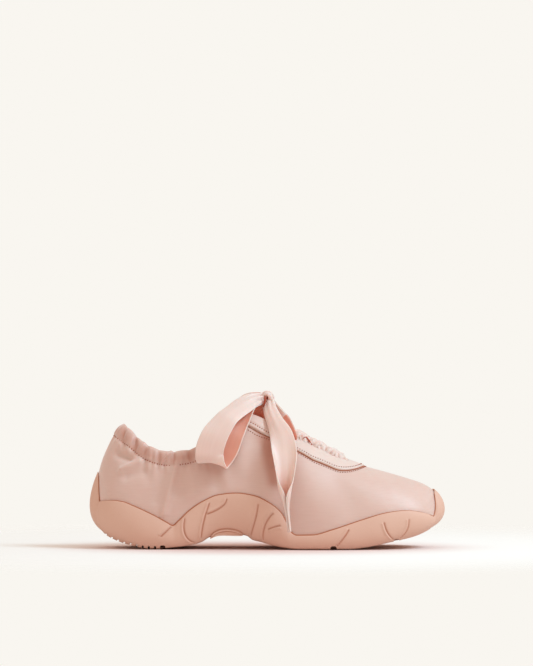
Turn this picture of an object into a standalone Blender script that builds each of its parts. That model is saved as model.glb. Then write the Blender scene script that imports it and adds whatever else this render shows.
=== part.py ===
"""Ballet sneaker, right foot: a satin upper on a moulded rubber sole, laced with a flat ribbon tied in a bow.

The shoe is drawn as a last is measured. STATION counts girth lines from the middle of the heel (0) to the
middle of the toe (12), down both sides. Each girth line rises from the feather edge, where upper and sole
meet, to the top line of the shoe. x is measured from the back of the heel towards the toe, lateral is -Y and
medial is +Y. Tables and sizes are in millimetres, and add_object() turns them into metres.
"""

import math

import bmesh
import bpy
import numpy as np
from mathutils import Matrix, Vector
from mathutils.bvhtree import BVHTree

MM = 0.001
LATERAL, MEDIAL = -1, 1
LAST_STATION = 12
RING = 2 * LAST_STATION

# Walls and clearances
GAP = 0.3
UPPER_WALL = 1.8
EYESTAY_WALL, EYESTAY_GAP = 1.2, 0.6
RIM_WALL = 1.6
INSOLE_THICK = 3.5
TONGUE_THICK = 2.4
RIBBON_WIDTH = 21.0
RIBBON_THICK = 0.8

# Feather edge of the upper: place, height and the two half widths, measured from the heel's axis
#          station  x     z     lateral  medial
FEATHER = [(0,     10.0, 17.0,    0.0,   0.0),
           (1,     15.5, 16.0,   18.5,  18.0),
           (2,     34.0, 15.0,   28.5,  27.5),
           (3,     60.0, 13.5,   30.0,  28.0),
           (4,     85.0, 16.0,   29.5,  26.0),
           (5,    108.0, 17.0,   31.0,  26.0),
           (6,    132.0, 13.0,   35.5,  30.0),
           (7,    156.0,  7.5,   40.0,  36.5),
           (8,    180.0,  6.5,   41.5,  40.5),
           (9,    204.0,  8.0,   39.0,  40.5),
           (10,   230.0, 12.5,   34.5,  38.0),
           (11,   251.0, 17.0,   22.5,  27.0),
           (12,   259.0, 20.0,   -3.0,   3.0)]

# Top of each girth line: the collar's edge to station 6, and the ridge of the vamp from station 9
#          station  x      z    half width
TOP = [(0,     26.0,  93.0,   0.0),
       (1,     32.5,  88.5,  10.5),
       (2,     45.0,  78.5,  19.5),
       (3,     62.0,  74.0,  23.0),
       (4,     82.0,  77.5,  23.5),
       (5,    100.0,  90.0,  20.5),
       (6,    118.0, 102.0,  14.5),
       (7,    139.0,  95.0,   7.0),
       (8,    158.5,  84.0,   2.0),
       (9,    178.0,  73.0,   0.0),
       (10,   199.0,  63.7,   0.0),
       (11,   222.0,  57.4,   0.0),
       (12,   243.0,  51.7,   0.0)]

# Handles of each girth line: it swells outwards as it leaves the feather edge, and rounds over to its top
#            station  swell  rise  shoulder  drop
GIRTH = [(0,     8.5,  23.0,   20.0,  21.5),
         (1,     6.5,  23.0,   15.0,  22.0),
         (2,     4.5,  21.0,    7.5,  22.0),
         (3,     4.5,  19.0,    5.5,  19.0),
         (4,     5.0,  20.0,    8.0,  19.0),
         (5,     5.5,  24.0,   11.0,  20.0),
         (6,     5.5,  27.0,   14.0,  15.0),
         (7,     5.0,  26.0,   20.0,   6.0),
         (8,     4.5,  24.0,   25.0,   2.0),
         (9,     4.0,  22.0,   27.5,   2.0),
         (10,    4.5,  18.0,   26.0,   3.6),
         (11,    6.5,  13.0,   24.0,   5.4),
         (12,    9.0,  12.0,   21.0,   5.7)]

# Bottom edge of the sole, and how far its side swells at the top and low down, as shares of its height
#         station  x     lateral  medial  swell_top  swell_low
SOLE = [(0,     10.0,    0.0,    0.0,   0.11,  0.35),
        (1,     16.0,   17.5,   17.0,   0.10,  0.33),
        (2,     36.0,   28.5,   27.5,   0.08,  0.26),
        (3,     61.0,   31.5,   29.5,   0.08,  0.24),
        (4,     85.0,   30.5,   27.0,   0.05,  0.17),
        (5,    108.0,   30.0,   25.5,   0.04,  0.16),
        (6,    132.0,   35.0,   30.0,   0.05,  0.20),
        (7,    156.0,   40.5,   37.0,   0.08,  0.26),
        (8,    180.0,   42.0,   41.0,   0.10,  0.28),
        (9,    204.0,   39.0,   40.5,   0.10,  0.28),
        (10,   228.0,   34.0,   37.5,   0.13,  0.30),
        (11,   248.0,   21.5,   26.5,   0.20,  0.40),
        (12,   256.0,   -3.0,    3.0,   0.23,  0.51)]
SIDE_DROP, SIDE_RISE = 0.25, 0.23

# Underside of the sole along its length: rolled heel, flat heel seat, arch, flat tread and toe spring
GROUND = [(10, 11.6), (14, 9.0), (20, 6.2), (27, 3.8), (34, 1.9), (41, 0.6), (48, 0.0), (68, 0.0), (75, 0.8),
          (80, 1.9), (85, 4.0), (91, 8.6), (97, 10.2), (106, 10.8), (115, 10.4), (119, 9.6), (123, 6.7),
          (129, 5.3), (137, 3.0), (146, 1.2), (157, 0.0), (194, 0.0), (204, 0.8), (214, 2.4), (224, 4.6),
          (234, 6.6), (244, 8.9), (256, 13.3)]
EDGE_LIFT, EDGE_INSET = 1.0, 3.0

# Wavy top edge of the sole down each side: heel lobe, dip, arch, dip and toe lobe
RIM = [(6, 33.3), (12, 35.0), (19, 35.4), (26, 34.6), (34, 31.6), (50, 24.2), (59, 19.3), (63.5, 17.0),
       (68, 20.6), (76, 28.2), (86, 35.0), (98, 39.9), (111, 41.2), (124, 39.4), (136, 33.8), (144, 27.2), (148.5, 19.5),
       (152, 12.4), (156, 10.2), (168, 10.4), (182, 14.0), (205, 21.4), (224, 26.6), (238, 28.0), (250, 26.4),
       (261, 22.5)]
#             middle  half width  top
HEEL_TAB = (0.0, 12.0, 56.0)
TOE_BUMPER = (2.5, 15.0, 43.6)
TAB_POWER, TAB_ROUND = 2.2, 0.85
# Clearance added inside the wall, by station
END_EASE = [(0.0, 0.3), (1.2, 0.0), (10.5, 0.0), (11.4, 0.7)]

# Throat slot and the lace stay round it, in plan: the straight sides, then a half ellipse at the front
#                x    half width
THROAT_SIDES = [(100, 21.5), (106, 19.4), (118, 15.6), (136, 12.0), (156, 10.0), (184, 9.0)]
THROAT_FRONT = (184.0, 10.0)
EYESTAY_SIDES = [(100, 22.5), (118, 23.5), (136, 24.5), (160, 25.0), (182, 23.5)]
EYESTAY_FRONT = (182.0, 24.5)
EYESTAY_BACK = 106.0
THROAT_CUT_BACK = 108.0
THROAT_CUT_HEIGHTS = (40.0, 130.0)
# Height at the collar, and points well above and beside the shoe from which its faces are found
EDGE_LOOKUP, ABOVE_SHOE, BESIDE_SHOE = 100.0, 200.0, 90.0

# Gathered cuff that holds the elastic
CUFF_HEIGHT = 10.5
CUFF_PUFF = 0.9
CUFF_END = (5.0, 5.6)

# Creases moulded in the sides of the sole, as seen from the side
CREASES = {
    "heel_dart": [(61.5, 15.2), (58.5, 12.2), (55.5, 9.4)],
    "heel_pillar": [(72.6, 23.5), (71.8, 17.0), (72.8, 11.0), (76.0, 6.6), (80.5, 4.4)],
    "arch_rear": [(91.0, 34.8), (89.2, 29.5), (87.2, 23.0), (85.6, 15.5), (84.6, 7.5)],
    "arch_leaf": [(104.0, 38.0), (102.4, 34.0), (99.0, 30.8), (94.0, 28.0), (88.6, 26.0)],
    "arch_front": [(127.4, 34.6), (126.4, 28.0), (124.8, 21.0), (122.8, 14.0), (121.8, 9.6)],
    "ball_pillar": [(139.0, 27.6), (135.2, 23.4), (132.4, 18.0), (131.0, 12.0), (131.0, 6.4)],
    "ball_dart": [(134.4, 15.0), (138.5, 16.6), (144.0, 18.0)],
    "tread_front": [(195.0, 15.2), (192.6, 11.0), (189.4, 6.6), (186.0, 2.6)],
    "toe_rear": [(221.0, 20.5), (222.8, 14.6), (225.4, 10.2), (228.6, 7.0)],
    "toe_front": [(240.0, 22.6), (239.4, 16.8), (237.0, 11.8), (233.0, 7.8)],
}
CREASE_RADIUS = 0.7

# Grooves across the tread: the ribbed roll of the heel, and the wide flex grooves
RIB_START, RIB_PITCH, RIB_COUNT = 9.0, 5.0, 9
RIB_WIDTH, RIB_DEPTH = 1.2, 1.6
GROOVE_REACH = 110.0
#                x   width  depth
FLEX_GROOVES = [(56.0, 4.0, 2.6), (183.5, 4.6, 2.6), (230.5, 4.0, 1.8)]

# Rubber bar across the arch, outlined from the side
ARCH_BAR = [(91.4, 7.6), (95.5, 9.3), (100.5, 10.0), (114.6, 9.8), (115.2, 11.0), (112.5, 12.8), (108.5, 13.9),
            (103.5, 14.3), (98.0, 13.5), (94.0, 11.4)]
# How far the bar reaches out on the lateral and the medial side
ARCH_BAR_LATERAL, ARCH_BAR_MEDIAL = 31.6, 27.6

# Tongue along its middle: place, height and half width
#          x      z    half width
TONGUE = [(104.0, 104.4,  9.0),
          (108.0, 104.6, 13.5),
          (118.0, 100.8, 16.0),
          (136.0,  93.4, 18.5),
          (160.0,  81.0, 18.0),
          (184.0,  67.8, 16.0),
          (192.0,  63.4, 15.0),
          (200.0,  60.8, 13.0)]
TONGUE_CROWN = 26.0
TONGUE_CLEAR = 0.4

# Eyelet pairs: place along the shoe, and half the distance between the two
#           x     half distance
EYELETS = [(188.5, 14.5), (177.0, 15.5), (164.5, 16.5), (151.0, 17.0)]
LACE_WIDTH = 9.0
LACE_ARCH = 2.6

# Strap from a top eyelet up to the knot, drawn on the medial side, and the direction across it
#          x      y     z      across
STRAP = [((148.2, 12.8,  94.0), (0.95, 0.0, 0.10)),
         ((144.6,  8.5,  98.8), (0.82, 0.0, 0.50)),
         ((139.8,  4.5, 103.6), (0.65, 0.0, 0.75)),
         ((135.0,  2.5, 108.0), (0.62, 0.0, 0.78))]
# Share of its width that the tail keeps along its length, where it is folded upon itself
TAIL_FOLD = [(0.0, 1.0), (0.55, 1.0), (0.75, 0.55), (1.0, 0.5)]

# The lateral half of the bow, mirrored on the medial side: the ribbon's middle line, and the direction across it
#                      x      y      z      across
LOOP = [((132.0,  -3.0, 113.0), (0.10, -0.70, -0.70)),
        ((121.0, -13.5, 110.6), (0.10, -0.78, -0.62)),
        ((108.5, -26.0, 103.0), (0.25, -0.83, -0.50)),
        ((102.0, -33.0,  97.3), (0.57, -0.70, -0.42)),
        (( 95.5, -39.5,  87.0), (0.92, -0.30, -0.22)),
        (( 91.5, -43.0,  76.5), (0.99, -0.10, -0.05)),
        (( 91.0, -44.0,  66.5), (0.99,  0.00, -0.10)),
        (( 93.0, -41.0,  61.8), (0.97,  0.05, -0.20)),
        (( 95.6, -36.6,  63.5), (0.97,  0.05, -0.22)),
        ((102.8, -34.6,  75.0), (0.95,  0.18, -0.24)),
        ((108.0, -31.6,  87.0), (0.82,  0.10, -0.55)),
        ((113.2, -23.0,  96.8), (0.58, -0.36, -0.73)),
        ((120.5, -13.0, 106.0), (0.30, -0.75, -0.59)),
        ((129.6,  -3.0, 108.4), (0.10, -0.72, -0.68))]
TAIL = [((135.6,  -4.0, 110.5), (0.90, -0.30, 0.30)),
        ((137.7, -13.4, 104.0), (0.90, -0.30, 0.30)),
        ((140.9, -24.0,  95.0), (0.92, -0.25, 0.28)),
        ((144.6, -31.0,  84.5), (0.98, -0.10, 0.15)),
        ((146.8, -37.0,  71.5), (1.00, -0.04, 0.03)),
        ((147.2, -42.5,  58.0), (0.98,  0.20, 0.03)),
        ((147.4, -46.0,  46.0), (0.70,  0.70, 0.05)),
        ((148.6, -48.0,  35.0), (0.26,  0.96, 0.05)),
        ((149.8, -49.0,  24.0), (0.20,  0.98, 0.05)),
        ((150.8, -49.5,  13.5), (0.20,  0.98, 0.05))]
#           share of the width at the knot, and of the length to where it is full
LOOP_GATHER = (0.34, 0.14)
TAIL_GATHER = (0.40, 0.30)
KNOT = ((134.4, 0.0, 110.6), (5.4, 6.4, 6.6))

# Mesh steps
STATION_STEPS = (5, 4, 4, 4, 3, 4, 6, 4, 3, 4, 5, 6)
WALL_STEPS, OUTER_STEPS, ACROSS_STEPS = 4, 4, 2
GIRTH_ROWS = (0.0, 0.24, 0.44, 0.60, 0.74, 0.87)

UP = Vector((0.0, 0.0, 1.0))
MIDDLE = Vector((133.5, 0.0, 0.0))

#            colour                roughness
FINISHES = {
    "satin": ((0.78, 0.55, 0.47), 0.38),
    "satin_trim": ((0.76, 0.52, 0.44), 0.42),
    "ribbon_satin": ((0.84, 0.63, 0.56), 0.35),
    "rubber": ((0.64, 0.40, 0.30), 0.60),
    "lining": ((0.70, 0.48, 0.40), 0.85),
    "footbed": ((0.72, 0.52, 0.44), 0.80),
}


# ---- Curves -------------------------------------------------------------------------------------------------

def smooth(table, x):
    """Height at x along a table of (x, height), rounded between its rows and never past them."""
    xs, heights = zip(*table)
    if x <= xs[0] or x >= xs[-1]:
        return heights[0] if x <= xs[0] else heights[-1]
    slopes = [(b - a) / (q - p) for a, b, p, q in zip(heights, heights[1:], xs, xs[1:])]
    k = int(np.searchsorted(xs, x, side="right")) - 1

    def tangent(j):
        if j in (0, len(xs) - 1):
            return slopes[min(j, len(slopes) - 1)]
        before, after = slopes[j - 1], slopes[j]
        return 0.0 if before * after <= 0 else 2 * before * after / (before + after)

    step = xs[k + 1] - xs[k]
    f = (x - xs[k]) / step
    return (heights[k] * (1 + 2 * f) * (1 - f)**2 + heights[k + 1] * f * f * (3 - 2 * f)
            + step * tangent(k) * f * (1 - f)**2 - step * tangent(k + 1) * f * f * (1 - f))


def flow(rows, u, closed=False):
    """Smooth curve through evenly numbered rows, read at place u."""
    last = len(rows) - 1
    k = math.floor(u) if closed else min(max(math.floor(u), 0), last - 1)
    pick = [(k + j) % len(rows) if closed else min(max(k + j, 0), last) for j in (-1, 0, 1, 2)]
    a, b, c, d = (rows[j] for j in pick)
    f = u - k
    return b + 0.5 * f * ((c - a) + f * (2 * a - 5 * b + 4 * c - d + f * (3 * (b - c) + d - a)))


def ring(rows, lateral, medial):
    """Rows of a station table as one closed ring: down the lateral side and back up the medial side."""
    down = [lateral(row) for row in rows]
    back = [medial(row) for row in rows[-2:0:-1]]
    return np.array(down + back, float)


def bezier(handles, f):
    """Point at share f of a cubic curve."""
    a, b, c, d = handles
    return a * (1 - f)**3 + b * (3 * f * (1 - f)**2) + c * (3 * f * f * (1 - f)) + d * f**3


def share(a, b, f):
    """Point at share f of the way from a to b."""
    return a + (b - a) * f


# ---- The last -----------------------------------------------------------------------------------------------

TOP_X = [row[1] for row in TOP]
TOP_HALF = [row[3] for row in TOP]
FOOT_RING = ring(FEATHER, lambda row: (row[1], -row[3], row[2]), lambda row: (row[1], row[4], row[2]))
TOP_RING = ring(TOP, lambda row: (row[1], -row[3], row[2]), lambda row: (row[1], row[3], row[2]))
GIRTH_RING = ring(GIRTH, lambda row: row[1:], lambda row: row[1:])
EDGE_RING = ring(SOLE, lambda row: (row[1], -row[2], 0), lambda row: (row[1], row[3], 0))
SWELL_RING = ring(SOLE, lambda row: row[4:], lambda row: row[4:])


def outward(place):
    """Level direction out of the shoe at a place on the ring."""
    ahead = flow(FOOT_RING, place + 0.02, True) - flow(FOOT_RING, place - 0.02, True)
    return Vector((ahead[1], -ahead[0], 0.0)).normalized()


def girth_handles(place):
    """Handles of the girth line at a place on the ring, from the feather edge to the top line."""
    foot = Vector(flow(FOOT_RING, place, True))
    top = Vector(flow(TOP_RING, place, True))
    swell, rise, shoulder, drop = flow(GIRTH_RING, place, True)
    side = LATERAL if place % RING <= LAST_STATION else MEDIAL
    top.y = side * max(side * top.y, 0.0)
    out = outward(place)
    return foot, foot + out * swell + UP * rise, top + out * shoulder - UP * drop, top


def girth_length(place):
    """Length of the girth line at a place on the ring."""
    handles = girth_handles(place)
    line = [bezier(handles, k / 16) for k in range(17)]
    return sum((b - a).length for a, b in zip(line, line[1:]))


def last_point(place, height):
    """Point of the last at a place on the ring, at a share of its girth line."""
    return bezier(girth_handles(place), height)


def last_normal(place, height):
    """Direction out of the last, square to its surface."""
    low, high = max(height - 0.01, 0.0), min(height + 0.01, 1.0)
    along = last_point(place + 0.02, height) - last_point(place - 0.02, height)
    up = last_point(place, high) - last_point(place, low)
    if along.length < 1e-6:
        along = last_point(place + 0.02, low) - last_point(place - 0.02, low)
    return along.cross(up).normalized()


def last_offset(place, height, distance):
    """Point at a distance outside the last."""
    return last_point(place, height) + last_normal(place, height) * distance


def stations():
    """Places of the cross sections from heel to toe, closer together where the forms turn fast."""
    places = [station + k / steps for station, steps in enumerate(STATION_STEPS) for k in range(steps)]
    return places + [float(LAST_STATION)]


def ring_places():
    """Places round the whole ring, the same on both sides."""
    down = stations()
    return down + [RING - place for place in down[-2::-1]]


# ---- Mesh helpers -------------------------------------------------------------------------------------------

def sheet(columns, rows, point):
    """Grid whose corner points come from point(column, row), with coinciding points welded."""
    bm = bmesh.new()
    bmesh.ops.create_grid(bm, x_segments=columns - 1, y_segments=rows - 1, size=1.0)
    for vert in bm.verts:
        column = round((vert.co.x + 1) / 2 * (columns - 1))
        row = round((vert.co.y + 1) / 2 * (rows - 1))
        vert.co = point(column, row)
    bmesh.ops.remove_doubles(bm, verts=bm.verts, dist=0.01)
    return bm


def closed_loft(loops):
    """Solid through closed loops of points, whose first and last loops have no inside."""
    bm = sheet(len(loops), len(loops[0]) + 1, lambda column, row: loops[column][row % len(loops[0])])
    bmesh.ops.recalc_face_normals(bm, faces=bm.faces)
    return bm


def add_object(name, bm, collection, finish=None):
    """Object made of a mesh given in millimetres from the back of the heel."""
    bmesh.ops.translate(bm, vec=-MIDDLE, verts=bm.verts)
    bmesh.ops.scale(bm, vec=(MM, MM, MM), verts=bm.verts)
    mesh = bpy.data.meshes.new(name)
    bm.to_mesh(mesh)
    bm.free()
    obj = bpy.data.objects.new(name, mesh)
    collection.objects.link(obj)
    if finish:
        obj.data.materials.append(material(name, finish))
        mesh.shade_smooth()
        mesh.set_sharp_from_angle(angle=math.radians(40))
    return obj


def material(name, finish):
    """Principled material in one of the shoe's finishes."""
    colour, roughness = FINISHES[finish]
    made = bpy.data.materials.new(name)
    made.use_nodes = True
    shader = made.node_tree.nodes["Principled BSDF"]
    shader.inputs["Base Color"].default_value = (*colour, 1.0)
    shader.inputs["Roughness"].default_value = roughness
    shader.inputs["Metallic"].default_value = 0.0
    return made


def thicken(obj, thickness, offset):
    """Give a sheet its wall: offset -1 grows it inwards, 1 outwards and 0 both ways."""
    wall = obj.modifiers.new("wall", "SOLIDIFY")
    wall.thickness = thickness * MM
    wall.offset = offset
    wall.use_even_offset = True
    return wall


def combine(obj, others, operation):
    """Cut a collection of helper objects from an object, or join them to it."""
    boolean = obj.modifiers.new(operation.lower(), "BOOLEAN")
    boolean.operation = operation
    boolean.operand_type = "COLLECTION"
    boolean.collection = others
    boolean.solver = "EXACT"
    return boolean


def helper_collection(name):
    """Collection for cutters and joined helpers."""
    made = bpy.data.collections.new(name)
    bpy.context.scene.collection.children.link(made)
    return made


def add_helper(name, bm, collection):
    """Cutter or joined helper, drawn as wire and left out of renders."""
    obj = add_object(name, bm, collection)
    obj.hide_render = True
    obj.display_type = "WIRE"
    return obj


def curve_mesh(curve):
    """Mesh of a curve, with its caps welded on."""
    obj = bpy.data.objects.new("curve", curve)
    bpy.context.scene.collection.objects.link(obj)
    depsgraph = bpy.context.evaluated_depsgraph_get()
    mesh = bpy.data.meshes.new_from_object(obj.evaluated_get(depsgraph))
    bm = bmesh.new()
    bm.from_mesh(mesh)
    bmesh.ops.remove_doubles(bm, verts=bm.verts, dist=0.001)
    bmesh.ops.recalc_face_normals(bm, faces=bm.faces)
    bpy.data.objects.remove(obj)
    bpy.data.meshes.remove(mesh)
    return bm


def prism(outline, low, high):
    """Upright solid over a closed outline of (x, y), from one height to another."""
    curve = bpy.data.curves.new("outline", "CURVE")
    curve.dimensions = "2D"
    curve.fill_mode = "BOTH"
    curve.extrude = (high - low) / 2
    spline = curve.splines.new("POLY")
    spline.points.add(len(outline) - 1)
    for point, (x, y) in zip(spline.points, outline):
        point.co = (x, y, 0.0, 1.0)
    spline.use_cyclic_u = True
    bm = curve_mesh(curve)
    bmesh.ops.translate(bm, vec=(0, 0, (low + high) / 2), verts=bm.verts)
    return bm


def tube(points, radius):
    """Round bar along points."""
    curve = bpy.data.curves.new("route", "CURVE")
    curve.dimensions = "3D"
    curve.bevel_depth = radius
    curve.bevel_resolution = 0
    curve.use_fill_caps = True
    spline = curve.splines.new("POLY")
    spline.points.add(len(points) - 1)
    for point, place in zip(spline.points, points):
        point.co = (*place, 1.0)
    return curve_mesh(curve)


# ---- Upper --------------------------------------------------------------------------------------------------

def cuff_puff(place, below_top):
    """How far the gathered cuff stands out, at a distance below the top line."""
    station = min(place, RING - place)
    start, end = CUFF_END
    fade = min(max((end - station) / (end - start), 0.0), 1.0)
    rise = min(max((CUFF_HEIGHT - below_top) / 1.0, 0.0), 1.0)
    return CUFF_PUFF * fade * rise


def upper_rows(place):
    """Shares of the girth line where the upper has its rows: the wall's, then the cuff's step and its edge."""
    length = girth_length(place)
    cuff = [1 - depth / length for depth in (CUFF_HEIGHT + 0.2, CUFF_HEIGHT - 1.0, CUFF_HEIGHT / 2, 0.0)]
    return [cuff[0] * row for row in GIRTH_ROWS] + cuff


def upper_sheet():
    """Outer face of the upper, one closed ring of girth lines."""
    places = ring_places()
    rows = {place: upper_rows(place) for place in places}
    lengths = {place: girth_length(place) for place in places}

    def point(column, row):
        place = places[column]
        height = rows[place][row]
        return last_offset(place, height, cuff_puff(place, (1 - height) * lengths[place]))

    return sheet(len(places), len(rows[0]), point)


def drop(surface, x, y):
    """Height of a surface under a point of the plan, or of its edge where the point lies past it."""
    hit = surface.ray_cast(Vector((x, y, ABOVE_SHOE)), -UP)[0]
    return hit.z if hit else surface.find_nearest(Vector((x, y, EDGE_LOOKUP)))[0].z


def half_width(table, front, x):
    """Half width in plan at x of a slot with straight sides and a half ellipse at its front."""
    start, radius = front
    if x <= start:
        return float(np.interp(x, *zip(*table)))
    return table[-1][1] * math.sqrt(max(1 - ((x - start) / radius)**2, 0.0))


def slot_outline(table, front, back, steps):
    """Plan of a slot from its lateral back corner round the front to its medial back corner."""
    start, radius = front
    sides = [share(back, start, k / steps) for k in range(steps)]
    lateral = [(x, -half_width(table, front, x)) for x in sides]
    turn = [math.pi * (k / steps - 0.5) for k in range(steps + 1)]
    nose = [(start + radius * math.cos(a), table[-1][1] * math.sin(a)) for a in turn]
    medial = [(x, -y) for x, y in reversed(lateral)]
    return lateral + nose + medial


def make_upper(collection):
    """One hollow wall over the last, open at the collar, at the throat and underneath."""
    bm = upper_sheet()
    surface = BVHTree.FromBMesh(bm)
    upper = add_object("upper", bm, collection, "satin")
    thicken(upper, UPPER_WALL, -1)
    cutters = helper_collection("throat_cutters")
    throat = slot_outline(THROAT_SIDES, THROAT_FRONT, THROAT_CUT_BACK, 6)
    add_helper("throat_cutter", prism(throat, *THROAT_CUT_HEIGHTS), cutters)
    combine(upper, cutters, "DIFFERENCE")
    return surface


def make_eyestay(collection, surface):
    """Lace stay: a band round the throat that follows the upper's own face."""
    inner = slot_outline(THROAT_SIDES, THROAT_FRONT, EYESTAY_BACK, 8)
    outer = slot_outline(EYESTAY_SIDES, EYESTAY_FRONT, EYESTAY_BACK, 8)
    rows = 5

    def point(column, row):
        a, b = Vector(inner[column]), Vector(outer[column])
        x, y = share(a, b, row / (rows - 1))
        return on_surface(lambda u, v: drop(surface, u, v), x, y, EYESTAY_GAP)

    bm = sheet(len(inner), rows, point)
    if sum(face.normal.z for face in bm.faces) < 0:
        bmesh.ops.reverse_faces(bm, faces=bm.faces)
    thicken(add_object("eyestay", bm, collection, "satin_trim"), EYESTAY_WALL, 1)


def on_surface(height, x, y, distance):
    """Point at a distance off a surface given by its height over the plan."""
    reach = 1.2
    slope_x = (height(x + reach, y) - height(x - reach, y)) / (2 * reach)
    slope_y = (height(x, y + reach) - height(x, y - reach)) / (2 * reach)
    return Vector((x, y, height(x, y))) + Vector((-slope_x, -slope_y, 1.0)).normalized() * distance


# ---- Sole and insole ----------------------------------------------------------------------------------------

def rim_height(point):
    """Height of the sole's top edge: the wave down the side, the tab at the heel and the bumper at the toe."""
    wave = smooth(RIM, point.x)
    middle, half, top = HEEL_TAB if point.x < MIDDLE.x else TOE_BUMPER
    across = min(abs(point.y - middle) / half, 1.0)
    return wave + (top - wave) * (1 - across**TAB_POWER)**TAB_ROUND


def rim_share(place):
    """Share of the girth line at which the sole's top edge crosses it."""
    low, high = 0.0, 1.0
    for _ in range(24):
        height = (low + high) / 2
        point = last_point(place, height)
        low, high = (height, high) if point.z < rim_height(point) else (low, height)
    return low


def wall_gap(place):
    """Clearance inside the sole's wall, eased where the wall climbs over the heel and the toe."""
    return GAP + float(np.interp(min(place, RING - place), *zip(*END_EASE)))


def sole_side(place):
    """Points up the inside of the sole's wall, over its rim and down its outside to the tread."""
    rim = rim_share(place)
    gap = wall_gap(place)
    inside = [last_offset(place, rim * k / WALL_STEPS, gap) for k in range(WALL_STEPS + 1)]
    inside[0].z -= GAP
    lip = last_offset(place, rim, gap + RIM_WALL)
    out = outward(place)
    edge = Vector(flow(EDGE_RING, place, True))
    edge.z = smooth(GROUND, edge.x) + EDGE_LIFT
    swell_top, swell_low = flow(SWELL_RING, place, True)
    tall = lip.z - edge.z
    handles = (lip, lip + out * swell_top * tall - UP * SIDE_DROP * tall,
               edge + out * swell_low * tall + UP * SIDE_RISE * tall, edge)
    outside = [bezier(handles, k / OUTER_STEPS) for k in range(OUTER_STEPS + 1)]
    tread = edge - out * EDGE_INSET
    tread.z = smooth(GROUND, tread.x)
    return inside + outside + [tread]


def across(a, b):
    """Points between the two sides, leaving out both ends."""
    return [share(a, b, k / ACROSS_STEPS) for k in range(1, ACROSS_STEPS)]


def sole_section(station):
    """Closed loop round the sole: lateral wall, tread, medial wall and the floor inside."""
    lateral, medial = sole_side(station), sole_side(RING - station)
    tread = across(lateral[-1], medial[-1])
    for point in tread:
        point.z = smooth(GROUND, point.x)
    return lateral + tread + medial[::-1] + across(medial[0], lateral[0])


def make_sole(collection):
    """Moulded rubber sole with its cup, heel tab, toe bumper, tread grooves and side creases."""
    bm = closed_loft([sole_section(station) for station in stations()])
    surface = BVHTree.FromBMesh(bm)
    sole = add_object("sole", bm, collection, "rubber")
    bars = helper_collection("sole_bars")
    bar = prism(ARCH_BAR, -ARCH_BAR_MEDIAL, ARCH_BAR_LATERAL)
    bmesh.ops.rotate(bar, cent=(0, 0, 0), matrix=Matrix.Rotation(math.pi / 2, 3, "X"), verts=bar.verts)
    add_helper("arch_bar", bar, bars)
    combine(sole, bars, "UNION")
    cutters = helper_collection("sole_cutters")
    for name, route in CREASES.items():
        for side, label in ((LATERAL, "lateral"), (MEDIAL, "medial")):
            points = [side_point(surface, x, z, side) for x, z in route]
            add_helper(f"{name}_{label}", tube(points, CREASE_RADIUS), cutters)
    for k in range(RIB_COUNT):
        add_helper(f"heel_rib_{k}", groove(RIB_START + k * RIB_PITCH, RIB_WIDTH, RIB_DEPTH), cutters)
    for k, row in enumerate(FLEX_GROOVES):
        add_helper(f"flex_groove_{k}", groove(*row), cutters)
    combine(sole, cutters, "DIFFERENCE")


def side_point(surface, x, z, side):
    """Point on the sole's side at a place seen from the side."""
    return surface.ray_cast(Vector((x, side * BESIDE_SHOE, z)), Vector((0.0, -side, 0.0)))[0]


def groove(x, width, depth):
    """Bar across the tread that leaves a groove of that width and depth, square to the ground there."""
    bm = bmesh.new()
    bmesh.ops.create_cube(bm, size=1.0)
    bmesh.ops.scale(bm, vec=(width, GROOVE_REACH, 2 * depth), verts=bm.verts)
    slope = (smooth(GROUND, x + 2.0) - smooth(GROUND, x - 2.0)) / 4.0
    bmesh.ops.rotate(bm, cent=(0, 0, 0), matrix=Matrix.Rotation(-math.atan(slope), 3, "Y"), verts=bm.verts)
    bmesh.ops.translate(bm, vec=(x, 0, smooth(GROUND, x)), verts=bm.verts)
    return bm


def make_insole(collection):
    """Footbed that lies on the sole inside the upper."""
    def section(station):
        sides = []
        for place in (station, RING - station):
            foot = Vector(flow(FOOT_RING, place, True)) - outward(place) * (UPPER_WALL + 2 * GAP)
            sides.append((foot + UP * GAP / 2, foot + UP * (GAP / 2 + INSOLE_THICK)))
        (low, high), (low_medial, high_medial) = sides
        return [low, high] + across(high, high_medial) + [high_medial, low_medial] + across(low_medial, low)

    add_object("insole", closed_loft([section(station) for station in stations()[::2]]), collection, "footbed")


# ---- Tongue and laces ---------------------------------------------------------------------------------------

def make_tongue(collection, surface):
    """Tongue under the throat, as wide as the lace stay, close under the upper."""
    columns, rows = 12, 7
    xs = [row[0] for row in TONGUE]
    heights, widths = zip(*[(row[1], row[2]) for row in TONGUE])

    def under(x, y):
        """Height just under the upper's wall, where there is one above."""
        if abs(y) < float(np.interp(x, TOP_X, TOP_HALF)) + 1.0:
            return math.inf
        face, below = (on_surface(lambda u, v: drop(surface, u, v), x, y, depth) for depth in (0.0, -1.0))
        steepness = (face - below).z
        return face.z - (UPPER_WALL + TONGUE_CLEAR) / steepness

    def point(column, row):
        x = share(xs[0], xs[-1], column / (columns - 1))
        middle = smooth(list(zip(xs, heights)), x)
        y = smooth(list(zip(xs, widths)), x) * (2 * row / (rows - 1) - 1)
        crown = middle - (TONGUE_CROWN - math.sqrt(TONGUE_CROWN**2 - y * y))
        return Vector((x, y, min(crown, under(x, y))))

    thicken(add_object("tongue", sheet(columns, rows, point), collection, "lining"), TONGUE_THICK, -1)


def lace_base(surface, x, y):
    """Height of the upper's face under the laces, bridged over the throat."""
    edge = half_width(THROAT_SIDES, THROAT_FRONT, x) + 1.0
    if abs(y) >= edge:
        return drop(surface, x, y)
    return share(drop(surface, x, -edge), drop(surface, x, edge), (y / edge + 1) / 2)


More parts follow.
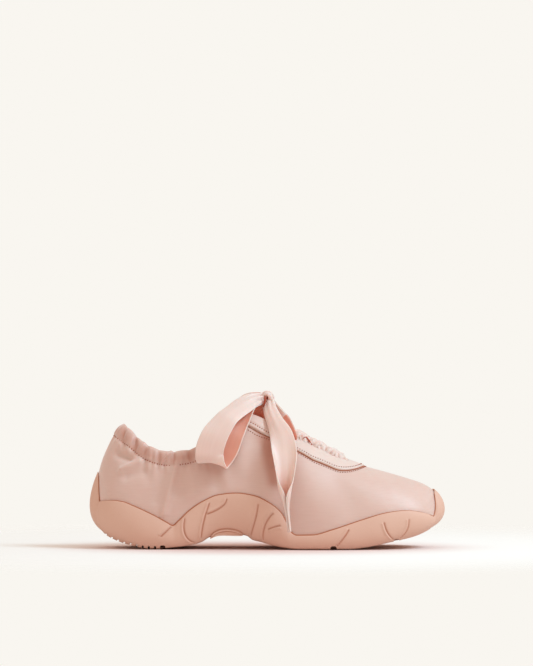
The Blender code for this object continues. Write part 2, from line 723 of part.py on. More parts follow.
def lace_route(surface, start, end, arch, steps=6):
    """Points across the throat from one eyelet to another, with the direction across the lace at each."""
    height = lambda u, v: lace_base(surface, u, v)
    lift = EYESTAY_GAP + EYESTAY_WALL + GAP + RIBBON_THICK / 2
    points, normals = [], []
    for k in range(steps + 1):
        x, y = share(Vector(start), Vector(end), k / steps)
        foot = on_surface(height, x, y, 0.0)
        normals.append((on_surface(height, x, y, 1.0) - foot).normalized())
        points.append(foot + normals[-1] * (lift + arch * math.sin(math.pi * k / steps)))
    aheads = [points[min(k + 1, steps)] - points[max(k - 1, 0)] for k in range(steps + 1)]
    return [(point, normal.cross(ahead).normalized()) for point, normal, ahead in zip(points, normals, aheads)]


def band(route, columns, rows, width):
    """Sheet along a route of points and directions, as wide as width(share of its length) says."""
    points = np.array([[*point, *direction] for point, direction in route], float)

    def point(column, row):
        f = column / (columns - 1)
        place = flow(points, f * (len(points) - 1))
        return Vector(place[:3]) + Vector(place[3:]).normalized() * width(f) * (row / (rows - 1) - 0.5)

    return sheet(columns, rows, point)


def knot_solid(clearance):
    """The knot's rounded form, grown by a clearance."""
    centre, radii = KNOT
    bm = bmesh.new()
    bmesh.ops.create_uvsphere(bm, u_segments=12, v_segments=8, radius=1.0)
    bmesh.ops.scale(bm, vec=[radius + clearance for radius in radii], verts=bm.verts)
    bmesh.ops.translate(bm, vec=centre, verts=bm.verts)
    return bm


def make_laces(collection, surface, knot_cutter):
    """The lace's crossings over the throat and its two straps up to the knot, joined where they meet."""
    routes = []
    front_x, front_half = EYELETS[0]
    routes.append(lace_route(surface, (front_x, -front_half), (front_x, front_half), LACE_ARCH))
    for (x, half), (next_x, next_half) in zip(EYELETS, EYELETS[1:]):
        for side, over in ((LATERAL, 0.0), (MEDIAL, RIBBON_THICK / 2)):
            routes.append(lace_route(surface, (x, side * half), (next_x, -side * next_half), LACE_ARCH + over))
    for side in (LATERAL, MEDIAL):
        routes.append(strap_route(surface, side))
    joined = helper_collection("lace_bands")
    steady = lambda f: LACE_WIDTH
    laces = add_object("lace_crossings", band(routes[0], 7, 2, steady), collection, "ribbon_satin")
    thicken(laces, RIBBON_THICK, 0)
    for k, route in enumerate(routes[1:]):
        strip = add_helper(f"lace_band_{k}", band(route, 7, 2, steady), joined)
        thicken(strip, RIBBON_THICK, 0)
    combine(laces, joined, "UNION")
    combine(laces, knot_cutter, "DIFFERENCE")


def strap_route(surface, side):
    """Route of the lace from a top eyelet up to the knot."""
    x, half = EYELETS[-1]
    foot, direction = lace_route(surface, (x, side * half), (x - 3.0, side * (half - 4.0)), 0.0)[0]
    return [(foot, direction if direction.x > 0 else -direction)] + sided(STRAP, -side)


def make_bow(collection, knot_cutter):
    """The knot, and on each side of it a loop and a hanging tail of flat ribbon."""
    add_object("bow_knot", knot_solid(0.0), collection, "ribbon_satin")
    for side, name in ((LATERAL, "lateral"), (MEDIAL, "medial")):
        loop = band(sided(LOOP, side), 26, 3, lambda f: gathered_width(min(f, 1 - f), *LOOP_GATHER))
        tail = band(sided(TAIL, side), 16, 3, tail_width)
        for piece, bm in (("bow_loop", loop), ("bow_tail", tail)):
            ribbon = add_object(f"{piece}_{name}", bm, collection, "ribbon_satin")
            thicken(ribbon, RIBBON_THICK, 0)
            combine(ribbon, knot_cutter, "DIFFERENCE")


def gathered_width(f, pinch, reach):
    """Width of the ribbon at a share of its length from the knot, where it is gathered."""
    return RIBBON_WIDTH * (pinch + (1 - pinch) * math.sin(math.pi / 2 * min(f / reach, 1.0)))


def tail_width(f):
    """Width of a tail: gathered at the knot, and folded upon itself towards its end."""
    return gathered_width(f, *TAIL_GATHER) * float(np.interp(f, *zip(*TAIL_FOLD)))


def sided(route, side):
    """A route drawn for the lateral side, turned to a side of the shoe."""
    flip = Vector((1.0, -side, 1.0))
    return [(Vector(point) * flip, Vector(direction) * flip) for point, direction in route]


# ---- The shoe -----------------------------------------------------------------------------------------------

def main():
    for obj in list(bpy.data.objects):
        bpy.data.objects.remove(obj, do_unlink=True)
    shoe = helper_collection("ballet_sneaker")
    make_sole(shoe)
    surface = make_upper(shoe)
    make_insole(shoe)
    make_tongue(shoe, surface)
    make_eyestay(shoe, surface)
    knot_cutter = helper_collection("knot_cutters")
    add_helper("knot_clearance", knot_solid(GAP), knot_cutter)
    make_laces(shoe, surface, knot_cutter)
    make_bow(shoe, knot_cutter)


main()
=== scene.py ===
"""Dresses the ballet sneaker: satin upper, moulded rubber sole, ribbon lacing and bow, each at its finished look.

Every piece is drawn in millimetres from the back of the heel, with x towards the toe, lateral -Y and medial +Y,
and world() puts it into the frame's metres. Stations count the girth lines from the middle of the heel (0) to the
middle of the toe (12). A place on the ring runs down the lateral side (0 to 12) and back up the medial one (24).
"""

import math
from functools import lru_cache, partial

import bmesh
import bpy
import numpy as np
from bpy.props import FloatProperty, FloatVectorProperty, PointerProperty
from mathutils import Matrix, Vector
from mathutils.bvhtree import BVHTree

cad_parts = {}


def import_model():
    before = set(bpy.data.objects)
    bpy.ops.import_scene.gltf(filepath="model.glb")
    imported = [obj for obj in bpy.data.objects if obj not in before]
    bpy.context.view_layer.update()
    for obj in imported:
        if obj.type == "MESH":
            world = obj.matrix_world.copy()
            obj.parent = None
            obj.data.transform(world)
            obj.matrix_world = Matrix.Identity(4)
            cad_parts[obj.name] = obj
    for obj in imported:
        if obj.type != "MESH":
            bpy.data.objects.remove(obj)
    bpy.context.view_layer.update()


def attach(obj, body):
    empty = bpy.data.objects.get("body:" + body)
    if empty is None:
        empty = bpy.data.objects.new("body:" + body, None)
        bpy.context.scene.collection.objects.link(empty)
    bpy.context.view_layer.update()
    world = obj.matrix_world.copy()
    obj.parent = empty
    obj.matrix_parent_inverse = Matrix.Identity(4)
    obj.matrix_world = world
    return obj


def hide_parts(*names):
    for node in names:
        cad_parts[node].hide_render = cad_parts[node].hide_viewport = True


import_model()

bl_info = {
    "name": "Ballet sneaker",
    "version": (1, 0, 0),
    "blender": (4, 5, 0),
    "location": "View3D > Sidebar > Sneaker",
    "description": "Models a satin ballet sneaker with a gathered collar, a ribbon bow and a moulded sole",
    "category": "Object",
}

MM = 0.001
LATERAL, MEDIAL = -1, 1
SIDES = ((LATERAL, "lateral"), (MEDIAL, "medial"))
LAST_STATION = 12
RING = 2 * LAST_STATION
UP = np.array([0.0, 0.0, 1.0])
MIDDLE = np.array([133.5, 0.0, 0.0])

# ---- The last and the pieces on it, in millimetres

# Distances in metres within which coinciding points merge: as a rule, on the upper, on thin parts and on sharp edges
MERGE, MERGE_WIDE, MERGE_THIN, MERGE_SHARP = 0.000005, 0.00001, 0.000004, 0.000002
# Walls and clearances
GAP = 0.3
UPPER_WALL = 1.8
EYESTAY_WALL = 1.2
INSOLE_THICK = 3.5
TONGUE_THICK = 2.4

# One row for each girth line, from the heel (station 0) to the toe (station 12): where it leaves the feather edge,
# with half widths from the heel's axis; its top, on the collar to station 6 and on the vamp's ridge from station 9; its
# handles, as it swells outwards at the bottom and rounds over to the top; and the sole's bottom edge there, with how
# far the sole's side swells at the top and low down, as shares of its height
STATIONS = np.array([
    # feather edge             top                 handles                 sole
    #  x     z  lateral medial x     z     half   swell rise shoulder drop x  lateral medial top  low
    (  10,   17,    0,    0,      26, 91.9,    0,   8.5, 23,   20, 21.5,      10,    0,    0, 0.11, 0.35),
    (15.5,   16, 18.5,   18,    32.5, 86.7, 10.5,   6.5, 23,   15,   22,      16, 17.5,   17,  0.1, 0.33),
    (  34,   15, 28.5, 27.5,      45, 76.4, 19.5,   4.5, 21,  7.5,   22,      36, 28.5, 27.5, 0.08, 0.26),
    (  60, 13.5,   30,   28,      62,   72,   23,   4.5, 19,  5.5,   19,      61, 31.5, 29.5, 0.08, 0.24),
    (  85,   16, 29.5,   26,      82, 75.8, 23.5,     5, 20,    8,   19,      85, 30.5,   27, 0.05, 0.17),
    ( 108,   17,   31,   26,     100, 88.6, 20.5,   5.5, 24,   11,   20,     108,   30, 25.5, 0.04, 0.16),
    ( 132,   13, 35.5,   30,     118,  102, 14.5,   5.5, 27,   14,   15,     132,   35,   30, 0.05,  0.2),
    ( 156,  7.5,   40, 36.5,     139,   95,    7,     5, 26,   20,    6,     156, 40.5,   37, 0.08, 0.26),
    ( 180,  6.5, 41.5, 40.5,   158.5,   84,    2,   4.5, 24,   25,    2,     180,   42,   41,  0.1, 0.28),
    ( 204,    8,   39, 40.5,     178,   73,    0,     4, 22, 27.5,    2,     204,   39, 40.5,  0.1, 0.28),
    ( 230, 12.5, 34.5,   38,     199, 63.7,    0,   4.5, 18,   26,  3.6,     228,   34, 37.5, 0.13,  0.3),
    ( 251,   17, 22.5,   27,     222, 57.4,    0,   6.5, 13,   24,  5.4,   248.5, 21.5, 26.5, 0.23, 0.41),
    ( 259,   20,   -3,    3,     243, 51.7,    0,     9, 12,   21,  5.7,   257.5,   -3,    3, 0.32,  0.5),
])
FEATHER, TOP, GIRTH, SOLE = np.split(STATIONS, (4, 7, 11), axis=1)

# How much lower the collar lies on the medial side, by station
MEDIAL_DROP = ([0, 2, 4, 6], [0.0, 2.3, 2.3, 0.0])
# How far the handles of the sole's side reach down and up, as shares of its height
SIDE_DROP, SIDE_RISE = 0.25, 0.23

# Underside of the sole along its length: rolled heel, flat heel seat, arch, flat tread and toe spring
GROUND = [(10, 11.6), (14, 9.0), (20, 6.2), (27, 3.8), (34, 1.9), (41, 0.5), (46, 0.0), (54, 0.0), (61, 0.8),
          (70, 1.7), (79.5, 3.3), (85, 5.0), (91, 8.6), (97, 10.2), (106, 10.8), (115, 10.4), (119, 9.6), (123, 6.7),
          (129, 5.3), (137, 3.0), (146, 1.2), (157, 0.0), (194, 0.0), (204, 0.8), (214, 2.4), (224, 4.6),
          (234, 6.6), (244, 8.9), (256, 13.3), (259, 14.6)]
# How far the sole's bottom edge lies above its tread and outside it
EDGE_LIFT, EDGE_INSET = 1.0, 3.0

# Wavy top edge of the sole down each side: heel lobe, dip, arch, dip and toe lobe
RIM = [(6, 33.3), (12, 35.0), (19, 35.4), (26, 34.6), (34, 31.6), (50, 24.2), (59, 19.3), (63.5, 17.0), (68, 20.6),
       (76, 28.2), (86, 35.0), (98, 39.9), (111, 41.2), (124, 39.4), (136, 33.8), (144, 27.2), (148.5, 19.5),
       (152, 12.4), (156, 10.2), (168, 10.4), (182, 14.0), (205, 21.4), (224, 26.6), (238, 28.0), (250, 26.4),
       (261, 22.5)]
#             middle  half width  top
HEEL_TAB = (0.0, 12.0, 56.0)
TOE_BUMPER = (2.5, 15.0, 43.0)
# Powers that shape the tops of the tab and the bumper
TAB_POWER, TAB_ROUND = 2.2, 0.85

# Throat slot and the lace stay round it, in plan: the straight sides, then a half ellipse at the front
#                x    half width
THROAT_SIDES = [(100, 21.5), (106, 19.4), (118, 15.6), (136, 12.0), (156, 10.0), (184, 9.0)]
THROAT_FRONT = (184.0, 10.0)
EYESTAY_SIDES = [(100, 21.6), (106, 21.4), (118, 21.2), (136, 22.0), (156, 23.4), (168, 25.1), (182, 24.2)]
EYESTAY_FRONT = (182.0, 24.5)
EYESTAY_BACK = 106.0
# Height at the collar, and well above the shoe, from which its faces are found
EDGE_LOOKUP, ABOVE_SHOE = 100.0, 200.0

# Creases moulded in the sides of the sole, as seen from the side
CREASES = {
    "heel_dart": [(62.6, 16.9), (58.8, 13.2), (54.4, 9.0)],
    "heel_pillar": [(72.6, 23.5), (71.8, 17.0), (72.8, 11.0), (76.0, 6.6), (80.5, 4.4)],
    "arch_rear": [(91.0, 34.8), (89.2, 29.5), (87.2, 23.0), (85.6, 15.5), (84.6, 7.5)],
    "arch_leaf": [(104.0, 38.0), (102.4, 34.0), (99.0, 30.8), (94.0, 28.0), (88.6, 26.0)],
    "arch_front": [(127.4, 34.6), (126.4, 28.0), (124.8, 21.0), (122.8, 14.0), (121.8, 9.6)],
    "ball_pillar": [(139.0, 27.6), (135.2, 23.4), (132.4, 18.0), (131.0, 12.0), (131.0, 6.4)],
    "ball_dart": [(134.4, 15.0), (138.5, 16.6), (144.0, 18.0)],
    "tread_front": [(195.0, 15.2), (192.6, 11.0), (189.4, 6.6), (186.0, 2.6)],
    "toe_rear": [(221.0, 20.5), (222.8, 14.6), (225.4, 10.2), (228.6, 7.0)],
    "bar_edge": [(91.0, 8.2), (93.4, 11.5), (97.8, 14.1), (103.5, 15.0), (108.8, 14.6), (113.0, 13.4), (116.0, 11.2)],
    "toe_front": [(240.0, 22.6), (239.4, 16.8), (237.0, 11.8), (233.0, 7.8)],
}

# Grooves across the tread: the ribbed roll of the heel, and the wide flex grooves
RIB_START, RIB_PITCH, RIB_COUNT = 8.4, 4.65, 10
RIB_WIDTH, RIB_DEPTH = 1.5, 2.1
# How wide and deep the ribs run on right across the heel
RIB_ACROSS = (1.3, 1.25)
GROOVE_REACH = 110.0
#                x   width  depth
FLEX_GROOVES = [(56.0, 4.0, 2.6), (183.5, 4.6, 2.6), (230.5, 4.0, 1.8)]

# Rubber bar across the arch, outlined from the side, and the spine of that outline
ARCH_BAR_SPINE = [(94.2, 10.0), (98.0, 11.4), (103.5, 12.1), (108.5, 11.9), (113.0, 11.2)]
ARCH_BAR = [(91.4, 7.6), (95.5, 9.3), (100.5, 10.0), (114.6, 9.8), (115.2, 11.0), (112.5, 12.8), (108.5, 13.9),
            (103.5, 14.3), (98.0, 13.5), (94.0, 11.4)]

# Tongue along its middle: place, height and half width
TONGUE = [(104.0, 104.4, 9.0), (108.0, 104.6, 13.5), (118.0, 100.8, 16.0), (136.0, 93.4, 18.5), (160.0, 81.0, 18.0),
          (184.0, 67.8, 16.0), (192.0, 63.4, 15.0), (200.0, 60.8, 13.0)]
# Radius of the tongue's crown, and its clearance under the upper
TONGUE_CROWN, TONGUE_CLEAR = 26.0, 0.4

# Eyelet pairs: place along the shoe, and half the distance between the two
#           x     half distance
EYELETS = [(188.5, 14.5), (177.0, 15.5), (164.5, 16.5), (151.0, 17.0)]

# Deep crease between two puffs of the lacing on the lateral side; a dark bead along it stands as its painted shadow
LACE_CREASE = [(160.8, -14.4, 82.1), (163.2, -13.4, 82.9), (165.2, -13.4, 80.7), (166.3, -14.4, 79.0),
               (167.6, -15.0, 77.2)]

# Strap from a top eyelet up to the knot, drawn on the medial side, and the direction across it
STRAP = [((147.0, 12.8, 93.4), (0.95, 0.0, 0.1)), ((143.0, 8.5, 98.2), (0.82, 0.0, 0.5)),
         ((138.4, 4.5, 103.4), (0.65, 0.0, 0.75)), ((134.4, 2.5, 108.0), (0.62, 0.0, 0.78))]

# The lateral half of the bow, mirrored on the medial side: a middle line, and at each point the direction across
LOOP = [((132.0, -3.0, 113.0), (0.1, -0.7, -0.7)), ((121.0, -13.5, 110.6), (0.1, -0.78, -0.62)),
        ((108.5, -26.0, 103.0), (0.25, -0.83, -0.5)), ((102.0, -33.0, 97.3), (0.57, -0.7, -0.42)),
        ((95.5, -39.5, 87.0), (0.92, -0.3, -0.22)), ((91.5, -43.0, 76.5), (0.99, -0.1, -0.05)),
        ((91.0, -44.0, 69.0), (0.98, 0.0, -0.16)), ((93.0, -41.0, 64.8), (0.97, 0.05, -0.23)),
        ((95.6, -36.6, 66.2), (0.97, 0.05, -0.22)), ((102.4, -34.6, 75.0), (0.95, 0.18, -0.24)),
        ((107.2, -31.6, 87.0), (0.82, 0.1, -0.55)), ((112.0, -23.0, 97.0), (0.6, -0.36, -0.71)),
        ((119.2, -12.5, 107.6), (0.48, -0.66, -0.58)), ((129.0, -3.0, 111.6), (0.1, -0.72, -0.68))]
TAIL = [((134.6, -4.0, 110.4), (0.9, -0.3, 0.3)), ((135.6, -13.4, 104.0), (0.9, -0.3, 0.3)),
        ((139.6, -24.0, 95.0), (0.92, -0.25, 0.28)), ((144.6, -31.0, 84.5), (0.98, -0.1, 0.15)),
        ((146.8, -37.0, 71.5), (1.0, -0.04, 0.03)), ((147.3, -42.5, 58.0), (1.0, -0.05, 0.03)),
        ((147.3, -46.0, 46.0), (1.0, -0.05, 0.03)), ((148.3, -48.0, 35.0), (1.0, -0.1, 0.03)),
        ((149.5, -49.0, 24.0), (0.99, -0.12, 0.03)), ((150.8, -49.5, 13.5), (0.99, -0.14, 0.03))]
# Middle of the knot, and its radii along the shoe and up
KNOT = ((134.1, 0.0, 110.7), (5.5, 6.7))
# Deep crease where the loop and the tail meet under the knot; a dark bead along it stands as its painted shadow
KNOT_CREASE = [(132.2, -7.4, 114.0), (132.5, -8.8, 111.8), (132.3, -9.8, 109.6), (131.7, -9.4, 107.4),
               (130.8, -7.0, 105.2)]


# ---- Curves and the last's surface

def smooth(table, x):
    """Heights at x along a table of (x, height), rounded between its rows and never past them."""
    xs, heights = np.array(table, float).T
    slopes = np.diff(heights) / np.diff(xs)
    before, after = slopes[:-1], slopes[1:]
    steady = before * after > 0
    inner = np.where(steady, 2 * before * after / np.where(steady, before + after, 1.0), 0.0)
    tangents = np.concatenate([slopes[:1], inner, slopes[-1:]])
    x = np.clip(x, xs[0], xs[-1])
    k = np.clip(np.searchsorted(xs, x, side="right") - 1, 0, len(xs) - 2)
    step = xs[k + 1] - xs[k]
    f = (x - xs[k]) / step
    return (heights[k] * (1 + 2 * f) * (1 - f)**2 + heights[k + 1] * f * f * (3 - 2 * f)
            + step * tangents[k] * f * (1 - f)**2 - step * tangents[k + 1] * f * f * (1 - f))


def flow(rows, u, closed=False):
    """Smooth curve through evenly numbered rows, read at the places u."""
    rows, u = np.asarray(rows, float), np.asarray(u, float)
    last = len(rows) - 1
    k = np.floor(u).astype(int) if closed else np.clip(np.floor(u).astype(int), 0, last - 1)
    pick = [(k + j) % len(rows) if closed else np.clip(k + j, 0, last) for j in (-1, 0, 1, 2)]
    a, b, c, d = (rows[j] for j in pick)
    f = (u - k)[..., None]
    return b + 0.5 * f * ((c - a) + f * (2 * a - 5 * b + 4 * c - d + f * (3 * (b - c) + d - a)))


def ring(lateral, medial):
    """Rows of both sides as one closed ring: down the lateral side and back up the medial side."""
    return np.concatenate([lateral, medial[-2:0:-1]])


def bezier(handles, f):
    """Points at shares f of cubic curves."""
    a, b, c, d = handles
    f = np.asarray(f, float)[..., None]
    return a * (1 - f)**3 + b * (3 * f * (1 - f)**2) + c * (3 * f * f * (1 - f)) + d * f**3


def unit(vectors):
    """Vectors at length 1."""
    return vectors / np.maximum(np.linalg.norm(vectors, axis=-1, keepdims=True), 1e-9)


def run_along(line):
    """Distances of a line's points from its first one, along it."""
    return np.concatenate([[0.0], np.cumsum(np.linalg.norm(np.diff(line, axis=0), axis=1))])


def hump(distance, width):
    """Soft bell of height 1 over a distance, as wide as its width says."""
    return np.exp(-(distance / width)**2)


def ease(x, start, end):
    """0 before start, 1 after end, and a smooth rise between them."""
    f = np.clip((x - start) / (end - start), 0.0, 1.0)
    return f * f * (3 - 2 * f)


FOOT_RING = ring(FEATHER[:, [0, 2, 1]] * (1, LATERAL, 1), FEATHER[:, [0, 3, 1]])
TOP_RING = ring(TOP[:, [0, 2, 1]] * (1, LATERAL, 1),
                TOP[:, [0, 2, 1]] - np.outer(np.interp(range(LAST_STATION + 1), *MEDIAL_DROP), UP))
GIRTH_RING = ring(GIRTH, GIRTH)
EDGE_RING = ring(SOLE[:, [0, 1, 1]] * (1, LATERAL, 0), SOLE[:, [0, 2, 2]] * (1, MEDIAL, 0))
SWELL_RING = ring(SOLE[:, 3:], SOLE[:, 3:])


def outward(place):
    """Level directions out of the shoe at places on the ring."""
    ahead = flow(FOOT_RING, place + 0.02, True) - flow(FOOT_RING, place - 0.02, True)
    return unit(np.stack([ahead[..., 1], -ahead[..., 0], 0 * ahead[..., 0]], axis=-1))


def girth_handles(place):
    """Handles of the girth lines at places on the ring, from the feather edge to the top line."""
    place = np.asarray(place, float)
    foot, top = flow(FOOT_RING, place, True), flow(TOP_RING, place, True)
    swell, rise, shoulder, drop = (flow(GIRTH_RING, place, True)[..., k, None] for k in range(4))
    side = np.where(place % RING <= LAST_STATION, LATERAL, MEDIAL)
    top[..., 1] = side * np.maximum(side * top[..., 1], 0.0)
    out = outward(place)
    return foot, foot + out * swell + UP * rise, top + out * shoulder - UP * drop, top


def last_point(place, height):
    """Points of the last at places on the ring, at shares of their girth lines."""
    return bezier(girth_handles(place), height)


def last_normal(place, height):
    """Directions out of the last, square to its surface."""
    low, high = np.maximum(height - 0.01, 0.0), np.minimum(height + 0.01, 1.0)
    along = last_point(place + 0.02, height) - last_point(place - 0.02, height)
    spare = last_point(place + 0.02, low) - last_point(place - 0.02, low)
    along = np.where(np.linalg.norm(along, axis=-1, keepdims=True) < 1e-6, spare, along)
    return unit(np.cross(along, last_point(place, high) - last_point(place, low)))


def girth_length(place):
    """Lengths of the girth lines at places on the ring."""
    lines = np.stack([last_point(place, np.full_like(place, k / 24)) for k in range(25)])
    return np.linalg.norm(np.diff(lines, axis=0), axis=-1).sum(0)


def even_places(*pitches):
    """Places down the lateral side and back up the medial one, as far apart as pitches say: one number, or rows of
    (x, pitch) along the shoe."""
    fine = np.linspace(0, LAST_STATION, 4801)
    line = last_point(fine, np.full_like(fine, 0.35))
    steps = np.linalg.norm(np.diff(line, axis=0), axis=1)
    pitch = pitches[0] if len(pitches) == 1 else np.interp(line[1:, 0], *zip(*pitches))
    count = np.concatenate([[0.0], np.cumsum(steps / pitch)])
    down = np.interp(np.linspace(0, count[-1], round(count[-1]) + 1), count, fine)
    return np.concatenate([down, RING - down[-2::-1]])


def opposite(place):
    """Places of the same stations on the other side of the shoe."""
    return (RING - place) % RING


def station_of(place):
    """Station from 0 to 12 of places on the ring."""
    place = np.asarray(place, float) % RING
    return np.minimum(place, RING - place)


# ---- Meshes

def world(points):
    """Millimetres from the back of the heel as metres in the frame."""
    return (np.asarray(points, float) - MIDDLE) * MM


def values(block, kind, field, size):
    """Numbers of one field of a mesh's elements, as an array."""
    found = np.empty(len(block) * size, kind)
    block.foreach_get(field, found)
    return found.reshape(-1, size) if size > 1 else found


def mesh_from(name, bm):
    """Mesh with a bmesh's shape."""
    mesh = bpy.data.meshes.new(name)
    bm.to_mesh(mesh)
    bm.free()
    return mesh


def to_world(bm):
    """Put a bmesh drawn in millimetres into the frame's metres."""
    bmesh.ops.translate(bm, vec=-MIDDLE, verts=bm.verts)
    bmesh.ops.scale(bm, vec=(MM, MM, MM), verts=bm.verts)


def grid_mesh(name, points, cloth=None, fold=None, holes=None, paint=None):
    """Mesh of a grid of points (columns, rows): cloth coordinates as its UV map, the amount of painted shade at each
    point, faces left out where holes(column, row) says, and its second material where paint(column, row) does."""
    columns, rows = points.shape[:2]
    bm = bmesh.new()
    bmesh.ops.create_grid(bm, x_segments=columns - 1, y_segments=rows - 1, size=1.0)
    if holes:
        cell = {face: ((face.calc_center_median().x + 1) / 2 * (columns - 1),
                       (face.calc_center_median().y + 1) / 2 * (rows - 1)) for face in bm.faces}
        gone = [face for face, (column, row) in cell.items() if holes(int(column), int(row))]
        bmesh.ops.delete(bm, geom=gone, context="FACES")
    mesh = mesh_from(name, bm)
    corner = values(mesh.vertices, np.float32, "co", 3)
    column = np.rint((corner[:, 0] + 1) / 2 * (columns - 1)).astype(int)
    row = np.rint((corner[:, 1] + 1) / 2 * (rows - 1)).astype(int)
    used = values(mesh.loops, np.int32, "vertex_index", 1)
    mesh.vertices.foreach_set("co", world(points[column, row]).astype(np.float32).ravel())
    if cloth is not None:
        layer = mesh.uv_layers.new(name="cloth")
        layer.uv.foreach_set("vector", cloth[column, row][used].astype(np.float32).ravel())
    # Painted shade: an amount per point that the materials turn into deeper colour where shade falls
    if fold is not None:
        layer = mesh.attributes.new("fold", "FLOAT", "POINT")
        layer.data.foreach_set("value", fold[column, row].astype(np.float32))
    if paint:
        first_column = column[used].reshape(-1, 4).min(1)
        first_row = row[used].reshape(-1, 4).min(1)
        mesh.polygons.foreach_set("material_index", paint(first_column, first_row).astype(np.int32))
    mesh.update()
    return mesh


def welded(mesh, distance):
    """Mesh with its coinciding points merged and its faces pointing out."""
    bm = bmesh.new()
    bm.from_mesh(mesh)
    bmesh.ops.remove_doubles(bm, verts=bm.verts, dist=distance)
    bmesh.ops.dissolve_degenerate(bm, edges=bm.edges, dist=distance)
    bmesh.ops.recalc_face_normals(bm, faces=bm.faces)
    bm.to_mesh(mesh)
    bm.free()
    return mesh


def add_to_scene(name, data):
    """New object in the scene's collection."""
    obj = bpy.data.objects.new(name, data)
    bpy.context.scene.collection.objects.link(obj)
    return obj


def add_piece(name, mesh, slot, *materials, replaces=()):
    """Object of the shoe: it rides on the shoe's one body and takes the given materials; its slot is not used."""
    for made in materials:
        mesh.materials.append(material(made))
    mesh.shade_smooth()
    obj = add_to_scene(name, mesh)
    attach(obj, "root")
    if replaces:
        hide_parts(*replaces)
    return obj


def grid_piece(name, points, slot, *materials, merge=MERGE, replaces=(), **details):
    """Piece of the shoe from a grid of points."""
    return add_piece(name, welded(grid_mesh(name, points, **details), merge), slot, *materials, replaces=replaces)


def applied(obj):
    """Replace an object's mesh by its evaluated one, and drop its modifiers."""
    depsgraph = bpy.context.evaluated_depsgraph_get()
    mesh = bpy.data.meshes.new_from_object(obj.evaluated_get(depsgraph))
    obj.modifiers.clear()
    obj.data = mesh
    return obj


# ---- Shaders

class Value:
    """A node's output that adds Math nodes when it is used in arithmetic."""

    def __init__(self, nodes, socket):
        self.nodes, self.socket = nodes, socket

    def math(self, operation, *others):
        return self.nodes.node("ShaderNodeMath", dict(enumerate((self, *others))), operation=operation)

    def __add__(self, other):
        return self.math("ADD", other)

    def __mul__(self, other):
        return self.math("MULTIPLY", other)

    __radd__, __rmul__ = __add__, __mul__

    def rise(self, start, end):
        """0 before start, 1 after end and a smooth step between them."""
        return self.nodes.node("ShaderNodeMapRange", {"Value": self, "From Min": start, "From Max": end},
                               interpolation_type="SMOOTHSTEP")


class Nodes:
    """A node tree that is built by naming what feeds each socket."""

    def __init__(self, tree):
        self.tree = tree

    def feed(self, socket, value):
        """Link a node's output to a socket, or set the socket to a number or a colour."""
        if isinstance(value, Value):
            self.tree.links.new(value.socket, socket)
        else:
            socket.default_value = value

    def node(self, kind, sockets=None, output=0, **settings):
        """Output of a new node: its settings come first, then the values or links of its sockets."""
        made = self.tree.nodes.new(kind)
        for name, value in settings.items():
            setattr(made, name, value)
        for name, value in (sockets or {}).items():
            self.feed(made.inputs[name], value)
        return Value(self, made.outputs[output])

    def blend(self, amount, low, high):
        """Colour between two others."""
        mix = self.node("ShaderNodeMix", {"Factor": amount}, output="Result", data_type="RGBA")
        node = mix.socket.node
        for socket, value in ((node.inputs[6], low), (node.inputs[7], high)):
            self.feed(socket, value if isinstance(value, Value) else (*value, 1.0))
        return Value(self, node.outputs[2])


class Finish(Nodes):
    """One material, its Principled shader and the nodes that feed it."""

    def __init__(self, name, colour, roughness, **constants):
        self.material = bpy.data.materials.new(name)
        self.material.use_nodes = True
        super().__init__(self.material.node_tree)
        self.shader = self.tree.nodes["Principled BSDF"]
        self.set("Base Color", (*colour, 1.0))
        self.set("Roughness", roughness)
        for socket, value in constants.items():
            self.set(socket.replace("_", " "), value)

    def set(self, socket, value):
        """Feed one of the shader's sockets with a number, a colour or a node's output."""
        self.feed(self.shader.inputs[socket], value)

    def place(self):
        """The point on the object, in metres."""
        return self.node("ShaderNodeTexCoord", output="Object")

    def cloth(self, axis):
        """One of the cloth's own coordinates, in millimetres: X along its run, Y across it."""
        uv = self.node("ShaderNodeUVMap", uv_map="cloth")
        return self.node("ShaderNodeSeparateXYZ", {"Vector": uv}, output=axis)

    def field(self, name):
        """A named amount stored with the mesh."""
        return self.node("ShaderNodeAttribute", attribute_name=name, output="Fac")

    def noise(self, scale, detail, where=None):
        return self.node("ShaderNodeTexNoise", {"Vector": where or self.place(), "Scale": scale, "Detail": detail})

    def stretched(self, scale):
        """The point on the object, scaled unevenly."""
        return self.node("ShaderNodeMapping", {"Vector": self.place(), "Scale": scale})

    def bump(self, height, distance, strength=1.0, normal=None):
        """Relief of a height from 0 to 1, as deep as distance in millimetres."""
        sockets = {"Height": height, "Distance": distance * MM, "Strength": strength}
        if normal:
            sockets["Normal"] = normal
        return self.node("ShaderNodeBump", sockets)


def shaded(colour, amount):
    """Colour darkened by a share of itself, blue first: a deeper, warmer tone for random tone and for painted shade."""
    return tuple(channel * (1 - amount * weight) for channel, weight in zip(colour, (0.55, 1.05, 1.22)))


